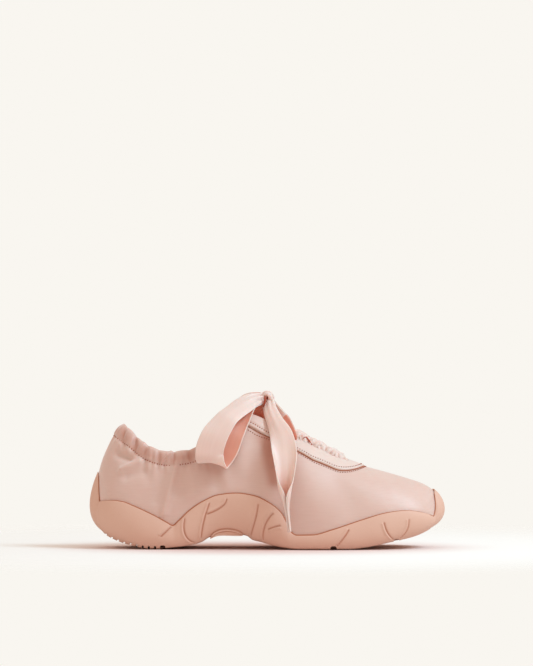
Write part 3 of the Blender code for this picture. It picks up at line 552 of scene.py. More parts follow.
def satin_finish(name, colour, thread):
    """Satin: long floats that shine softly, faint slubs, and painted shade that deepens its colour where the mesh says.
    """
    finish = Finish(name, colour, 0.42, Sheen_Weight=0.8, Sheen_Roughness=0.45, Specular_IOR_Level=0.5,
                    Subsurface_Weight=0.18, Subsurface_Scale=0.004, Subsurface_Radius=(1.0, 0.4, 0.3))
    along, up = finish.cloth("X"), finish.cloth("Y")
    floats = (along * (math.tau / thread)).math("SINE") * 0.5 + 0.5
    ticks = ((up + along * 0.5) * (math.tau / (thread * 2.6))).math("SINE") * 0.5 + 0.5
    cloud = finish.noise(34.0, 3.0)
    slub = finish.noise(1.0, 3.0, where=finish.stretched((90.0, 300.0, 1500.0)))
    colour_now = finish.blend(cloud.rise(0.35, 0.7) * 0.5, colour, shaded(colour, 0.08))
    colour_now = finish.blend(slub.rise(0.4, 0.7) * 0.36, colour_now, shaded(colour, 0.12))
    # Painted shade: the stored amount deepens the satin's colour, standing in for shade in folds, gathers and under the
    # ribbon
    fold = finish.field("fold").rise(0.0, 1.0)
    finish.set("Base Color", finish.blend(fold * 0.9, colour_now, shaded(colour, 0.48)))
    finish.set("Roughness", slub * 0.16 + 0.35)
    weave = finish.bump(floats * 0.5 + ticks * 0.5, 0.02, 0.25)
    finish.set("Normal", finish.bump(cloud, 0.35, 0.35, weave))
    return finish.material


# The ribbon's woven edge: partly its own tone, partly a painted highlight along the edge
RIBBON_SELVEDGE_HIGHLIGHT = (0.84, 0.68, 0.61)


def ribbon_finish(name, colour, rough, depth, through=0.0):
    """Ribbon: smooth satin with fine lengthwise lines and a woven edge, painted lighter as a highlight along it."""
    # Painted glow: the emission, as strong as the last argument says, stands in for light passing through the ribbon
    # and warms its shade
    finish = Finish(name, colour, rough, Sheen_Weight=0.2, Sheen_Roughness=0.4, Specular_IOR_Level=0.5,
                    Subsurface_Weight=0.3, Subsurface_Scale=0.004, Subsurface_Radius=(1.0, 0.4, 0.3),
                    Emission_Color=(1.0, 0.26, 0.14, 1.0), Emission_Strength=through)
    across = finish.cloth("Y")
    lines = (across * (math.tau / 0.45)).math("SINE") * 0.5 + 0.5
    edge = (across.math("ABSOLUTE")).rise(9.3, 10.1)
    cloud = finish.noise(55.0, 2.0)
    streak = finish.noise(1.0, 2.0, where=finish.node(
        "ShaderNodeMapping", {"Vector": finish.node("ShaderNodeUVMap", uv_map="cloth"), "Scale": (0.02, 0.9, 1.0)}))
    colour_now = finish.blend(streak.rise(0.35, 0.75) * 0.35, colour, shaded(colour, 0.10))
    # Painted highlight: the edges take a lighter colour, as if they caught the light
    colour_now = finish.blend(edge * 0.8, colour_now, RIBBON_SELVEDGE_HIGHLIGHT)
    # Painted shade: the stored amount deepens the ribbon's colour in pleats, curls and where the bow shades it
    fold = finish.field("fold").rise(0.0, 1.0)
    finish.set("Base Color", finish.blend(fold * 0.95, colour_now, shaded(colour, depth)))
    finish.set("Roughness", streak * 0.14 + edge * 0.12 + (rough - 0.07))
    weave = finish.bump(lines * 0.7 + edge, 0.035, 0.4)
    finish.set("Normal", finish.bump(cloud, 0.25, 0.3, weave))
    return finish.material


def rubber_finish(name, colour):
    """Moulded rubber: matt, finely grained, with painted shade in its creases."""
    finish = Finish(name, colour, 0.6, Specular_IOR_Level=0.35)
    grain = finish.noise(1500.0, 4.0)
    cloud = finish.noise(22.0, 2.0)
    # Painted shade: the stored amount darkens the rubber in its creases and on the arch bar
    fold = finish.field("fold").rise(0.0, 1.0)
    colour_now = finish.blend(cloud.rise(0.3, 0.75) * 0.5, colour, shaded(colour, 0.07))
    colour_now = finish.blend(grain.rise(0.45, 0.7) * 0.12, colour_now, shaded(colour, 0.25))
    finish.set("Base Color", finish.blend(fold * 0.85, colour_now, shaded(colour, 0.52)))
    finish.set("Roughness", grain * 0.14 + cloud * 0.08 + 0.48)
    finish.set("Normal", finish.bump(grain, 0.05, 0.5))
    return finish.material


def textile_finish(name, colour, pitch):
    """Matt lining: a plain knit whose loops stand up a little."""
    # Painted glow: a faint warm emission lifts the colour in shade, standing in for light bounced inside the shoe and
    # the knot
    finish = Finish(name, colour, 0.85, Sheen_Weight=0.25, Specular_IOR_Level=0.2,
                    Emission_Color=(1.0, 0.22, 0.12, 1.0), Emission_Strength=0.05)
    along, up = finish.cloth("X"), finish.cloth("Y")
    turn = math.tau / pitch
    knit = (along * turn).math("SINE") * (up * turn).math("SINE") * 0.5 + 0.5
    cloud = finish.noise(90.0, 3.0)
    colour_now = finish.blend(knit.rise(0.2, 0.8) * 0.35, shaded(colour, 0.14), colour)
    finish.set("Base Color", finish.blend(cloud.rise(0.35, 0.7) * 0.4, colour_now, shaded(colour, 0.12)))
    finish.set("Roughness", cloud * 0.1 + 0.8)
    finish.set("Normal", finish.bump(knit, 0.12, 0.5))
    return finish.material


def thread_finish(name, colour):
    """Sewing thread: twisted plies across each stitch."""
    finish = Finish(name, colour, 0.8, Specular_IOR_Level=0.15)
    ply = finish.noise(2600.0, 1.0)
    finish.set("Base Color", finish.blend(ply.rise(0.4, 0.65) * 0.5, colour, shaded(colour, 0.3)))
    finish.set("Normal", finish.bump(ply, 0.06, 0.6))
    return finish.material


def floor_finish(name, colour, clear_from, clear_to):
    """Paper floor that fades into the bright backdrop away from the shoe, with a painted, pinkish shadow close under
    it.
    """
    finish = Finish(name, colour, 0.95, Specular_IOR_Level=0.0)
    spread = finish.node("ShaderNodeVectorMath", {0: finish.place()}, output="Value", operation="LENGTH")
    near = finish.node("ShaderNodeVectorMath", {0: finish.stretched((0.75, 1.0, 1.0))}, output="Value",
                       operation="LENGTH")
    # Painted shadow: the floor turns darker and pinker close under the shoe
    finish.set("Base Color", finish.blend(near.rise(0.05, 0.14), FLOOR_PAINTED_SHADOW, colour))
    see_through = finish.node("ShaderNodeBsdfTransparent")
    paper = Value(finish, finish.shader.outputs[0])
    mixed = finish.node("ShaderNodeMixShader", {"Fac": spread.rise(clear_from, clear_to), 1: paper, 2: see_through})
    finish.tree.links.new(mixed.socket, finish.tree.nodes["Material Output"].inputs["Surface"])
    return finish.material


# ---- Upper

# Gathers of the collar, from the back seam forwards: distance along it, width, height and slant with depth
GATHERS = [(3.0, 4.5, 0.5, 0.0), (9.0, 1.8, -0.8, 0.5), (14.5, 2.6, 0.5, 0.4), (21.0, 2.2, -1.3, 0.3),
           (26.5, 1.6, 1.1, -0.5), (30.5, 1.6, -0.7, -0.4), (36.0, 3.4, 0.4, 0.0), (42.0, 2.2, -0.5, 0.1),
           (47.0, 1.1, 1.1, -0.75), (53.0, 1.0, -1.0, 0.0), (59.0, 2.6, 0.5, 0.1), (65.0, 1.6, -0.8, 0.1),
           (71.5, 2.4, 0.6, 0.0), (78.0, 1.8, -0.8, 0.1), (84.5, 2.4, 0.6, -0.1), (91.0, 1.8, -0.7, 0.1),
           (98.0, 2.6, 0.5, 0.0), (105.0, 1.8, -0.5, 0.1)]
# Distance of the channel's stitching from the collar's edge, and how far the channel bulges and the stitching sinks
CUFF_LINE, CUFF_BULGE, CUFF_GROOVE = 10.0, 0.9, 0.35
# How much longer the gathers are on the medial side, and how much the tables' heights count
MEDIAL_STRETCH, GATHER_RISE, DRAPE_RISE, SCALLOP = 1.06, 1.45, 1.8, 0.35
# Finer ripples below the channel, along its stitching and on it: pitch, wander and its length, and height
UNDER_RIPPLE, STITCH_RIPPLE, CHANNEL_RIPPLE = (5.3, 1.4, 7.0, 0.36), (2.9, 0.8, 3.1, 0.16), (3.9, 2.0, 4.6, 0.2)
# Painted shade: how much deeper the colour is in the troughs below the channel
UNDER_SHADE = 0.15
# Stations between which the gathers and the collar's channel end and the rounding of the vamp's ridge starts, and the
# one after which a column may run up to that ridge
GATHERS_END, COLLAR_END, RIDGE_START, RIDGE_STATION = (5.2, 6.4), (5.4, 6.2), (8.2, 9.2), 8
# Painted shade: how much deeper the satin's colour is in the gathered channel of the collar
CUFF_SHADE = 0.56

# Soft troughs and ridges of the satin, seen from the side: a start, an end, a width and a height
DRAPE = [((19.5, 82.0), (23.0, 78.0), 2.2, 0.8), ((22.0, 70.5), (31.0, 67.0), 2.8, -1.7),
         ((25.5, 58.5), (38.5, 65.5), 2.7, 1.7), ((29.0, 54.0), (41.0, 58.0), 3.4, -1.0),
         ((41.0, 66.0), (45.0, 52.0), 4.0, -0.5), ((56.0, 56.0), (51.5, 36.0), 3.6, -0.6),
         ((66.0, 62.5), (57.0, 27.0), 3.4, 1.1), ((71.5, 62.0), (68.0, 42.0), 4.6, -1.0),
         ((77.0, 60.0), (80.0, 46.0), 4.5, 0.6), ((90.0, 62.0), (95.0, 50.0), 5.5, -1.0),
         ((100.0, 60.0), (104.0, 48.0), 5.0, 0.5), ((112.0, 84.0), (114.0, 62.0), 6.0, 0.5),
         ((124.0, 80.0), (121.0, 52.0), 7.0, -0.7), ((142.0, 66.0), (146.0, 24.0), 9.0, -0.6),
         ((158.0, 60.0), (170.0, 34.0), 10.0, 0.6), ((186.0, 52.0), (196.0, 32.0), 9.0, -0.4),
         ((208.0, 56.0), (226.0, 46.0), 6.0, 0.3)]
# How much further forward the folds lie on the medial side
MEDIAL_FOLDS = 4.0
# Where the satin lies in the shade of the ribbon: a start, an end, a width and a share
TAIL_SHADE = [((130.8, 93.0), (139.6, 52.0), 6.3, 1.0),
              ((92.0, 61.0), (97.0, 58.0), 5.5, 0.5)]
# Rows of the wall: how far apart down the cuff and below it, and round its rolled edge
CUFF_ROWS, CUFF_DEPTH, BODY_ROWS, ROLL_ROWS, INNER_ROWS = 20, 13.0, 40, 5, 18
# Distance between columns, radius of the vamp's ridge, length of the cloth round the shoe, and rows of satin inside
UPPER_PITCH, RIDGE_ROUND, CLOTH_ROUND, TURNED_IN = 0.85, 5.0, 560.0, 4
# The throat's edge opens further at its back: where, and by how much
THROAT_BACK, THROAT_NARROW = (100.0, 112.0), 3.0


def slot_half(sides, front, x):
    """Half width in plan of a slot with straight sides and a half ellipse at its front."""
    start, radius = front
    straight = np.interp(x, *zip(*sides))
    nose = sides[-1][1] * np.sqrt(np.clip(1 - ((x - start) / radius)**2, 0.0, None))
    return np.where(x <= start, straight, nose)


def throat_share(place):
    """Share of each girth line where the upper ends: at its top line, or at the edge of the throat."""
    shares = np.linspace(0.35, 1.0, 401)
    points = last_point(place[:, None], shares[None, :])
    x, y = points[..., 0], points[..., 1]
    open_half = slot_half(THROAT_SIDES, THROAT_FRONT, x) - THROAT_NARROW * (1 - ease(x, *THROAT_BACK))
    past = np.where(x < THROAT_BACK[0], 1.0, np.abs(y) - open_half)
    found = np.ones(len(place))
    for k in np.flatnonzero(past[:, -1] < 0):
        j = np.flatnonzero(past[k] >= 0)[-1]
        found[k] = shares[j] + (shares[1] - shares[0]) * past[k, j] / (past[k, j] - past[k, j + 1])
    return found


def route_distance(x, z, route, refine=1):
    """Signed distance of points seen from the side to a route, and the share of the route they lie at."""
    route = flow(route, np.linspace(0, len(route) - 1, refine * (len(route) - 1) + 1)) if refine > 1 else route
    route = np.asarray(route, float)
    best, share_at = np.full(x.shape, np.inf), np.zeros(x.shape)
    for k, ((ax, az), (bx, bz)) in enumerate(zip(route, route[1:])):
        dx, dz = bx - ax, bz - az
        f = np.clip(((x - ax) * dx + (z - az) * dz) / (dx * dx + dz * dz), 0.0, 1.0)
        off_x, off_z = x - ax - f * dx, z - az - f * dz
        away = np.hypot(off_x, off_z) * np.where(dx * off_z - dz * off_x > 0, 1.0, -1.0)
        nearer = np.abs(away) < np.abs(best)
        best = np.where(nearer, away, best)
        share_at = np.where(nearer, (k + f) / (len(route) - 1), share_at)
    return best, share_at


def collar_run(place):
    """Distance along the top line from the back seam, stretched a little on the medial side."""
    fine = np.linspace(0, LAST_STATION, 601)
    line = last_point(fine, np.ones_like(fine))
    medial = place % RING > LAST_STATION
    return np.interp(station_of(place), fine, run_along(line)) * np.where(medial, MEDIAL_STRETCH, 1.0)


def ripples(run, pitch, wander, over, height):
    """Heights of uneven ripples along a run."""
    return height * np.sin(math.tau * run / pitch + wander * np.sin(run / over))


def gathers(place, below):
    """Height of the collar's gathers, and the painted shade in its pinches and in the troughs below it, at places and
    distances below the top.
    """
    run = collar_run(place)
    fade = 1 - ease(station_of(place), *GATHERS_END)
    arch = np.sin(math.pi * np.clip(below / CUFF_LINE, 0, 1))
    inside = 0.6 + 0.4 * arch
    strength = fade * np.where(below < CUFF_LINE, inside, 0.6 * np.exp(-np.clip(below - CUFF_LINE, 0, None) / 4.5))
    height, pinch = np.zeros(below.shape), np.zeros(below.shape)
    for start, width, rise, slant in GATHERS:
        bell = hump(run - start - slant * (below - CUFF_LINE / 2), width)
        height += rise * bell * strength
        pinch += max(-rise, 0.0) * bell * strength
    under = ripples(run, *UNDER_RIPPLE) * hump(below - CUFF_LINE - 1.0, 5.5)
    stitched = ripples(run, *STITCH_RIPPLE) * hump(below - CUFF_LINE, 1.8)
    channel = ripples(run, *CHANNEL_RIPPLE) * arch
    return (GATHER_RISE * height + fade * (under + stitched + channel),
            pinch + fade * UNDER_SHADE * np.clip(-under / UNDER_RIPPLE[-1], 0, None))


def drape(points, place):
    """Height of the satin's soft folds at points of the upper."""
    x, z = points[..., 0], points[..., 2]
    x = x - np.where(place % RING > LAST_STATION, MEDIAL_FOLDS, 0.0)
    height = np.zeros(x.shape)
    for start, end, width, rise in DRAPE:
        height += rise * hump(route_distance(x, z, [start, end])[0], width)
    return DRAPE_RISE * height * ease(station_of(place), 0.15, 1.2)


def tail_shade(points, place):
    """Painted shadow: how much deeper the satin's colour is beside the ribbon that hangs over it."""
    shade = np.zeros(points.shape[:-1])
    for start, end, width, amount in TAIL_SHADE:
        away = route_distance(points[..., 0], points[..., 2], [start, end])[0]
        shade = np.maximum(shade, amount * hump(away, width))
    return np.where(place % RING < LAST_STATION, shade, 0.0)


def upper_grid(pitch, rows):
    """Places, shares and distances below the edge of the upper's outer rows, and the share where it ends."""
    place = even_places(pitch)
    edge = throat_share(place)
    length = girth_length(place) * edge
    down = np.linspace(CUFF_DEPTH, 0, rows + 1)
    body = np.linspace(0, 1, BODY_ROWS, endpoint=False)
    below = np.concatenate([length[:, None] - (length[:, None] - CUFF_DEPTH) * body[None, :],
                            np.repeat(down[None, :], len(place), axis=0)], axis=1)
    height = edge[:, None] * (1 - below / length[:, None])
    places = np.repeat(place[:, None], below.shape[1], axis=1)
    return places, height, below, edge


def closed_columns(places, edge):
    """Which columns of the upper run on to the vamp's closed ridge."""
    return (edge > 0.99999) & (station_of(places[:, 0]) > RIDGE_STATION)


def upper_faces(places, height, below, edge):
    """Outer and inner face of the upper, the directions up its girth lines, and the painted shade at each point."""
    closed = closed_columns(places, edge)[:, None]
    base = last_point(places, height)
    slope = flow(GIRTH_RING, places, True)
    keel = slope[..., 3] / slope[..., 2] * ease(station_of(places), *RIDGE_START)
    y = base[..., 1]
    base[..., 2] -= keel * (np.sqrt(y * y + RIDGE_ROUND**2) - np.abs(y))
    normal = last_normal(places, height)
    flat = np.where(closed, 1 - ease(height, 0.90, 1.0), 1.0)
    normal[..., 1] *= flat
    normal = unit(normal)
    collar = 1 - ease(station_of(places), *COLLAR_END)
    bulge = np.sin(math.pi * np.clip(below / CUFF_LINE, 0, 1))**0.6 * CUFF_BULGE * collar
    groove = CUFF_GROOVE * hump(below - CUFF_LINE, 1.2) * collar
    puffs, pinch = gathers(places, below)
    folds = drape(base, places) * ease(below, 0.0, 8.0) * ease(below[:, :1] - below, 0.0, 14.0)
    seam = 0.4 * hump(collar_run(places), 0.7) * ease(below, CUFF_LINE, CUFF_LINE + 2)
    out = bulge - groove + puffs + folds - seam
    lifted = base + UP * (SCALLOP * puffs * (1 - ease(below, 0, 7.0)))[..., None]
    outer = lifted + normal * out[..., None]
    inner = lifted - normal * (UPPER_WALL + 0.5 * bulge - 0.55 * puffs - 0.6 * folds)[..., None]
    for face in (outer, inner):
        face[..., 1] = np.where(closed & (height > 0.99999), 0.0, face[..., 1])
    rise = unit(last_point(places, height) - last_point(places, height - 0.03))
    # Painted shade: deeper colour over the collar's channel, in its pinches, in the stitching's groove, at the back
    # seam and beside the ribbon
    shade = CUFF_SHADE * bulge / CUFF_BULGE + pinch * 0.5 + groove * 0.3 + seam + tail_shade(base, places)
    return outer, inner, rise, np.clip(shade, 0, 1)


def upper_shell():
    """The upper's closed wall: up its outer face, over the rolled edge and down its lining."""
    places, height, below, edge = upper_grid(UPPER_PITCH, CUFF_ROWS)
    outer, inner, rise, fold = upper_faces(places, height, below, edge)
    top_out, top_in = outer[:, -1], inner[:, -1]
    centre, arm = (top_out + top_in) / 2, (top_out - top_in) / 2
    reach = np.linalg.norm(arm, axis=1, keepdims=True)
    closed = closed_columns(places, edge)
    turns = [math.pi * (k + 1) / (ROLL_ROWS + 1) for k in range(ROLL_ROWS)]
    roll = np.stack([centre + arm * math.cos(a) + rise[:, -1] * reach * math.sin(a) for a in turns], axis=1)
    roll[closed] = top_out[closed][:, None]
    pick = np.unique(np.rint(np.linspace(0, outer.shape[1] - 1, INNER_ROWS + CUFF_ROWS // 2)).astype(int))[::-1]
    points = np.concatenate([outer, roll, inner[:, pick], outer[:, :1]], axis=1)
    along = np.repeat(np.linspace(0, 1, len(places))[:, None] * CLOTH_ROUND, points.shape[1], axis=1)
    up = run_along(points[len(points) // 8])
    cloth = np.stack([along, np.repeat(up[None, :], len(places), axis=0)], axis=-1)
    # The painted shade carries on over the rolled edge and, at half strength, down the lining
    folds = np.concatenate([fold, np.repeat(fold[:, -1:], ROLL_ROWS, 1), 0.5 * fold[:, pick], fold[:, :1]], axis=1)
    rows = outer.shape[1]
    grid_piece("upper_shell", points, "upper_satin", "satin", "lining_knit", merge=MERGE_WIDE, replaces=["upper"],
               cloth=cloth, fold=folds, paint=lambda column, row: row >= rows + ROLL_ROWS + CUFF_ROWS - TURNED_IN,
               holes=lambda column, row: closed[column] & closed[column + 1] & (row >= rows - 1)
               & (row < rows + ROLL_ROWS))


def face_tree(points):
    """Search tree of a grid of points, in millimetres."""
    columns, rows = points.shape[:2]
    index = np.arange(columns * rows).reshape(columns, rows)
    quads = np.stack([index[:-1, :-1], index[1:, :-1], index[1:, 1:], index[:-1, 1:]], axis=-1).reshape(-1, 4)
    return BVHTree.FromPolygons([Vector(p) for p in points.reshape(-1, 3)], quads.tolist())


def drop(surface, x, y):
    """Height of a surface under a point of the plan, or of its edge where the point lies past it."""
    hit = surface.ray_cast(Vector((x, y, ABOVE_SHOE)), Vector((0.0, 0.0, -1.0)))[0]
    return hit.z if hit else surface.find_nearest(Vector((x, y, EDGE_LOOKUP)))[0].z


def on_surface(height, x, y, distance, reach=1.5):
    """Point at a distance off a surface given by its height over the plan."""
    slope_x = (height(x + reach, y) - height(x - reach, y)) / (2 * reach)
    slope_y = (height(x, y + reach) - height(x, y - reach)) / (2 * reach)
    return np.array((x, y, height(x, y))) + unit(np.array((-slope_x, -slope_y, 1.0))) * distance


# ---- Sole and footbed

# Distance between its cross sections along the shoe: closer together at the creases
SOLE_PITCH = [(10, 0.9), (50, 0.9), (56, 0.5), (142, 0.5), (150, 1.2), (182, 1.2), (187, 0.5), (242, 0.5), (250, 0.9)]
# Rows of each part of a cross section
WALL_ROWS, LIP_ROWS, SIDE_ROWS, TURN_ROWS, TREAD_ROWS, FLOOR_ROWS = 7, 5, 60, 6, 14, 6
# How far the lip is rounded, how far the turn to the tread bulges out and down, and how wide the creases are
LIP_ROUND, TURN_OUT, TURN_DOWN, CREASE_WIDTH = 0.7, 0.6, 0.3, 0.55
# Shares of a crease's run over which it starts and ends
CREASE_STARTS, CREASE_ENDS = (-0.01, 0.07), (0.93, 1.01)
# The swollen edge beside each crease: how far behind it, how wide and how high
LIP_BEHIND, LIP_WIDTH, LIP_RISE = 1.5, 0.9, 0.6
# How far the ribs' corners are rounded, how far the ribs reach in from the sides, and from which place on they do
RIB_CORNER, RIB_POCKET, RIBS_AT_SIDES = 0.5, 13.0, 30.0
# Clearance between the sole's wall and the satin, and thickness of its lip, by station
RIM_CLEAR = [(0.0, 0.15), (1.2, 0.25), (10.5, 0.25), (11.4, 0.10)]
RIM_EDGE = [(0.0, 0.6), (1.2, 1.5), (10.5, 1.5), (11.4, 0.5)]
# Fine tread under the ball of the foot: pitch and depth of its ripples, where they run, how far from there they come
# and go, and the height of a wave below which the tread stays flat
TREAD_PITCH, TREAD_DEPTH, TREAD_SPAN, TREAD_FADE, TREAD_FLAT = 6.4, 0.5, (160.0, 224.0), 4.0, 0.55
# Halvings that find where the sole's top edge crosses a girth line
HALVINGS = 26


def rim_height(point):
    """Height of the sole's top edge: the wave down the side, the tab at the heel and the bumper at the toe."""
    x, y = point[..., 0], point[..., 1]
    wave = smooth(RIM, x)
    heel = x < MIDDLE[0]
    middle, half, top = (np.where(heel, a, b) for a, b in zip(HEEL_TAB, TOE_BUMPER))
    across = np.clip(np.abs(y - middle) / half, 0.0, 1.0)
    return wave + (top - wave) * (1 - across**TAB_POWER)**TAB_ROUND


def rim_share(place):
    """Share of the girth line at which the sole's top edge crosses it."""
    low, high = np.zeros_like(place), np.ones_like(place)
    for _ in range(HALVINGS):
        height = (low + high) / 2
        point = last_point(place, height)
        under = point[:, 2] < rim_height(point)
        low, high = np.where(under, height, low), np.where(under, high, height)
    return low


def creases(x, z, crease_depth):
    """Relief of the moulded creases, and how deep each point lies in one, at points seen from the side."""
    relief, depth = np.zeros(x.shape), np.zeros(x.shape)
    for route in CREASES.values():
        away, share_at = route_distance(x, z, route, refine=6)
        fade = ease(share_at, *CREASE_STARTS) * (1 - ease(share_at, *CREASE_ENDS))
        bell = hump(away, CREASE_WIDTH) * fade
        relief += LIP_RISE * hump(away + LIP_BEHIND, LIP_WIDTH) * fade - crease_depth * bell
        depth = np.maximum(depth, bell)
    return relief, depth


def sole_side(place, crease_depth):
    """Rows up the inside of the sole's wall, over its rounded lip, down its outside and round to the tread."""
    rim = rim_share(place)
    station = station_of(place)
    gap = np.interp(station, *zip(*RIM_CLEAR))
    inside = np.stack([last_point(place, rim * k / WALL_ROWS) + last_normal(place, rim * k / WALL_ROWS)
                       * gap[:, None] for k in range(WALL_ROWS + 1)], axis=1)
    inside[:, 0, 2] -= GAP
    normal = last_normal(place, rim)
    lip = last_point(place, rim) + normal * (gap + np.interp(station, *zip(*RIM_EDGE)))[:, None]
    out, edge = outward(place), flow(EDGE_RING, place, True)
    edge[:, 2] = smooth(GROUND, edge[:, 0]) + EDGE_LIFT
    swell_top, swell_low = flow(SWELL_RING, place, True).T[..., None]
    tall = (lip - edge)[:, 2:]
    handles = (lip, lip + out * swell_top * tall - UP * SIDE_DROP * tall,
               edge + out * swell_low * tall + UP * SIDE_RISE * tall, edge)
    outside = np.stack([bezier(handles, k / SIDE_ROWS) for k in range(SIDE_ROWS + 1)], axis=1)
    relief, depth = creases(outside[..., 0], outside[..., 2], crease_depth)
    middle = np.sin(math.pi * np.linspace(0, 1, SIDE_ROWS + 1))**0.25
    sideways = np.abs(out[:, None, 1])**2
    outside += out[:, None, :] * (relief * middle * sideways)[..., None]
    turns = [math.pi / 2 * (k + 1) / (LIP_ROWS + 1) for k in range(LIP_ROWS)]
    top_in, top_out = inside[:, -1], outside[:, 0]
    over = np.stack([top_in + (top_out - top_in) * (1 - math.cos(2 * a)) / 2
                     + UP * LIP_ROUND * math.sin(2 * a) * 0.5 for a in turns], axis=1)
    tread = edge - out * EDGE_INSET
    tread[:, 2] = smooth(GROUND, tread[:, 0])
    corner = (edge + tread) / 2 + out * TURN_OUT - UP * TURN_DOWN
    round_rows = np.stack([edge * (1 - f)**2 + corner * 2 * f * (1 - f) + tread * f * f
                           for f in [(k + 1) / TURN_ROWS for k in range(TURN_ROWS)]], axis=1)
    ground = smooth(GROUND, round_rows[..., 0])
    round_rows[..., 2] = np.maximum(round_rows[..., 2], ground)
    rows = np.concatenate([inside, over, outside, round_rows], axis=1)
    before, after = inside.shape[1] + over.shape[1], round_rows.shape[1]
    # Painted shade: the sides darken in their moulded creases
    shade = np.concatenate([np.zeros((len(place), before)), depth * middle * sideways,
                            np.zeros((len(place), after))], axis=1)
    return rows, shade


def rows_between(a, b, count, height=None):
    """Rows of points between two others, leaving out both ends, at a height over their place if it is given."""
    rows = np.stack([a + (b - a) * (k + 1) / (count + 1) for k in range(count)], axis=1)
    if height:
        rows[..., 2] = height(rows[..., 0])
    return rows


def tread_height(x):
    """Height of the tread, with its fine ripples under the ball of the foot."""
    start, end = TREAD_SPAN
    inside = ease(x, start, start + TREAD_FADE) * (1 - ease(x, end - TREAD_FADE, end))
    wave = np.clip(np.cos(math.tau * (x - start) / TREAD_PITCH) - TREAD_FLAT, 0, None) / (1 - TREAD_FLAT)
    return smooth(GROUND, x) + TREAD_DEPTH * inside * wave


def sole_body(crease_depth):
    """Moulded rubber sole: cup, heel tab, toe bumper, creased sides and a grooved tread."""
    place = even_places(*SOLE_PITCH)
    half = len(place) // 2 + 1
    lateral, lateral_shade = sole_side(place[:half], crease_depth)
    medial, medial_shade = sole_side(opposite(place[:half]), crease_depth)
    tread = rows_between(lateral[:, -1], medial[:, -1], TREAD_ROWS, tread_height)
    floor = rows_between(medial[:, 0], lateral[:, 0], FLOOR_ROWS)
    points = np.concatenate([lateral, tread, medial[:, ::-1], floor, lateral[:, :1]], axis=1)
    blank = [np.zeros(rows.shape[:2]) for rows in (tread, floor, lateral[:, :1])]
    shade = np.concatenate([lateral_shade, blank[0], medial_shade[:, ::-1], blank[1], blank[2]], axis=1)
    obj = grid_piece("sole_body", points, "sole_rubber", "rubber", replaces=["sole"], fold=shade)
    ribs = [RIB_START + k * RIB_PITCH for k in range(RIB_COUNT)]
    across = [(x, *RIB_ACROSS) for x in ribs]
    pockets = [(x, RIB_WIDTH, RIB_DEPTH) for x in ribs if x > RIBS_AT_SIDES] + FLEX_GROOVES
    for cutter in (sole_grooves(across, None), sole_grooves(pockets, RIB_POCKET)):
        cut = obj.modifiers.new("grooves", "BOOLEAN")
        cut.operation, cut.object, cut.solver = "DIFFERENCE", cutter, "EXACT"
        applied(obj)
        bpy.data.objects.remove(cutter)


def sole_grooves(rows, pocket):
    """Cutter of grooves in the tread with rounded tops: right across it, or pockets from both sides."""
    bm = bmesh.new()
    for x, width, depth in rows:
        slope = (smooth(GROUND, x + 2.0) - smooth(GROUND, x - 2.0)) / 4.0
        turn = Matrix.Rotation(-math.atan(slope), 3, "Y")
        u = np.interp(x, FOOT_RING[:LAST_STATION + 1, 0], range(LAST_STATION + 1))
        bars = [(0.0, GROOVE_REACH)]
        if pocket:
            half = [(side, side * flow(EDGE_RING, place, True)[1])
                    for side, place in ((LATERAL, u), (MEDIAL, opposite(u)))]
            bars = [(side * (max(wide - pocket, 1.0) + GROOVE_REACH / 4), GROOVE_REACH / 2) for side, wide in half]
        for middle, reach in bars:
            made = bmesh.ops.create_cube(bm, size=1.0)["verts"]
            bmesh.ops.scale(bm, vec=(width, reach, 2 * depth), verts=made)
            bmesh.ops.rotate(bm, cent=(0, 0, 0), matrix=turn, verts=made)
            bmesh.ops.translate(bm, vec=(x, middle, smooth(GROUND, x)), verts=made)
            level = [edge for edge in bm.edges if edge.verts[0] in made and edge.verts[1] in made
                     and abs((edge.verts[0].co - edge.verts[1].co).normalized().y) > 0.99]
            bmesh.ops.bevel(bm, geom=level, offset=min(RIB_CORNER, width * 0.3) if width < 2 else width * 0.3,
                            offset_type="OFFSET", affect="EDGES", segments=3, profile=0.5, material=-1)
    to_world(bm)
    return add_to_scene("grooves", mesh_from("grooves", bm))


def shadow_line(name, line, radius, made_of, slot):
    """Thin dark bead along a line of points: painted shadow where two parts meet or the ribbon creases."""
    radius = np.broadcast_to(radius, len(line))[:, None, None]
    ahead = unit(np.gradient(line, axis=0))
    side = unit(np.cross(ahead, UP))
    up = np.cross(side, ahead)
    turns = np.linspace(0, math.tau, 7)
    points = line[:, None] + radius * (side[:, None] * np.cos(turns)[None, :, None]
                                       + up[:, None] * np.sin(turns)[None, :, None])
    closed = np.linalg.norm(line[0] - line[-1]) < 0.01
    if not closed:
        points = np.concatenate([np.repeat(line[:1, None], 7, 1), points, np.repeat(line[-1:, None], 7, 1)], axis=0)
    grid_piece(name, points, slot, made_of, merge=MERGE_THIN)


# Radius of the dark beads of painted shadow at the seams round the sole and the lace stay, how high the first lies,
# and how far out and high the second
RIM_SEAM, STAY_SEAM, RIM_SEAM_LIFT, STAY_SEAM_OUT, STAY_SEAM_LIFT = 0.92, 0.44, 0.3, 0.35, 0.2


def rim_seam():
    """Dark bead between the sole's lip and the satin, all the way round: painted shadow in the gap at their seam."""
    place = even_places(1.0)
    rim = rim_share(place)
    sideways = np.abs(outward(place)[:, 1])
    line = last_point(place, rim) + last_normal(place, rim) * RIM_SEAM_LIFT + UP * RIM_SEAM_LIFT * sideways[:, None]**4
    line[-1] = line[0]
    top = np.where(line[:, 0] < MIDDLE[0], HEEL_TAB[2], TOE_BUMPER[2])
    showing = 0.1 + 0.9 * ease(top - line[:, 2], 0.5, 4.0)
    shadow_line("rim_seam", line, RIM_SEAM * (0.3 + 0.7 * sideways) * showing, "rim_shadow", "sole_rubber")


# Place of the arch bar's sides across the shoe, how its edges are rounded, and the recess in its ends
ARCH_BAR_SIDES = (-32.4, 28.4)
ARCH_BAR_ROUND, ARCH_BAR_RECESS = 0.5, 0.6


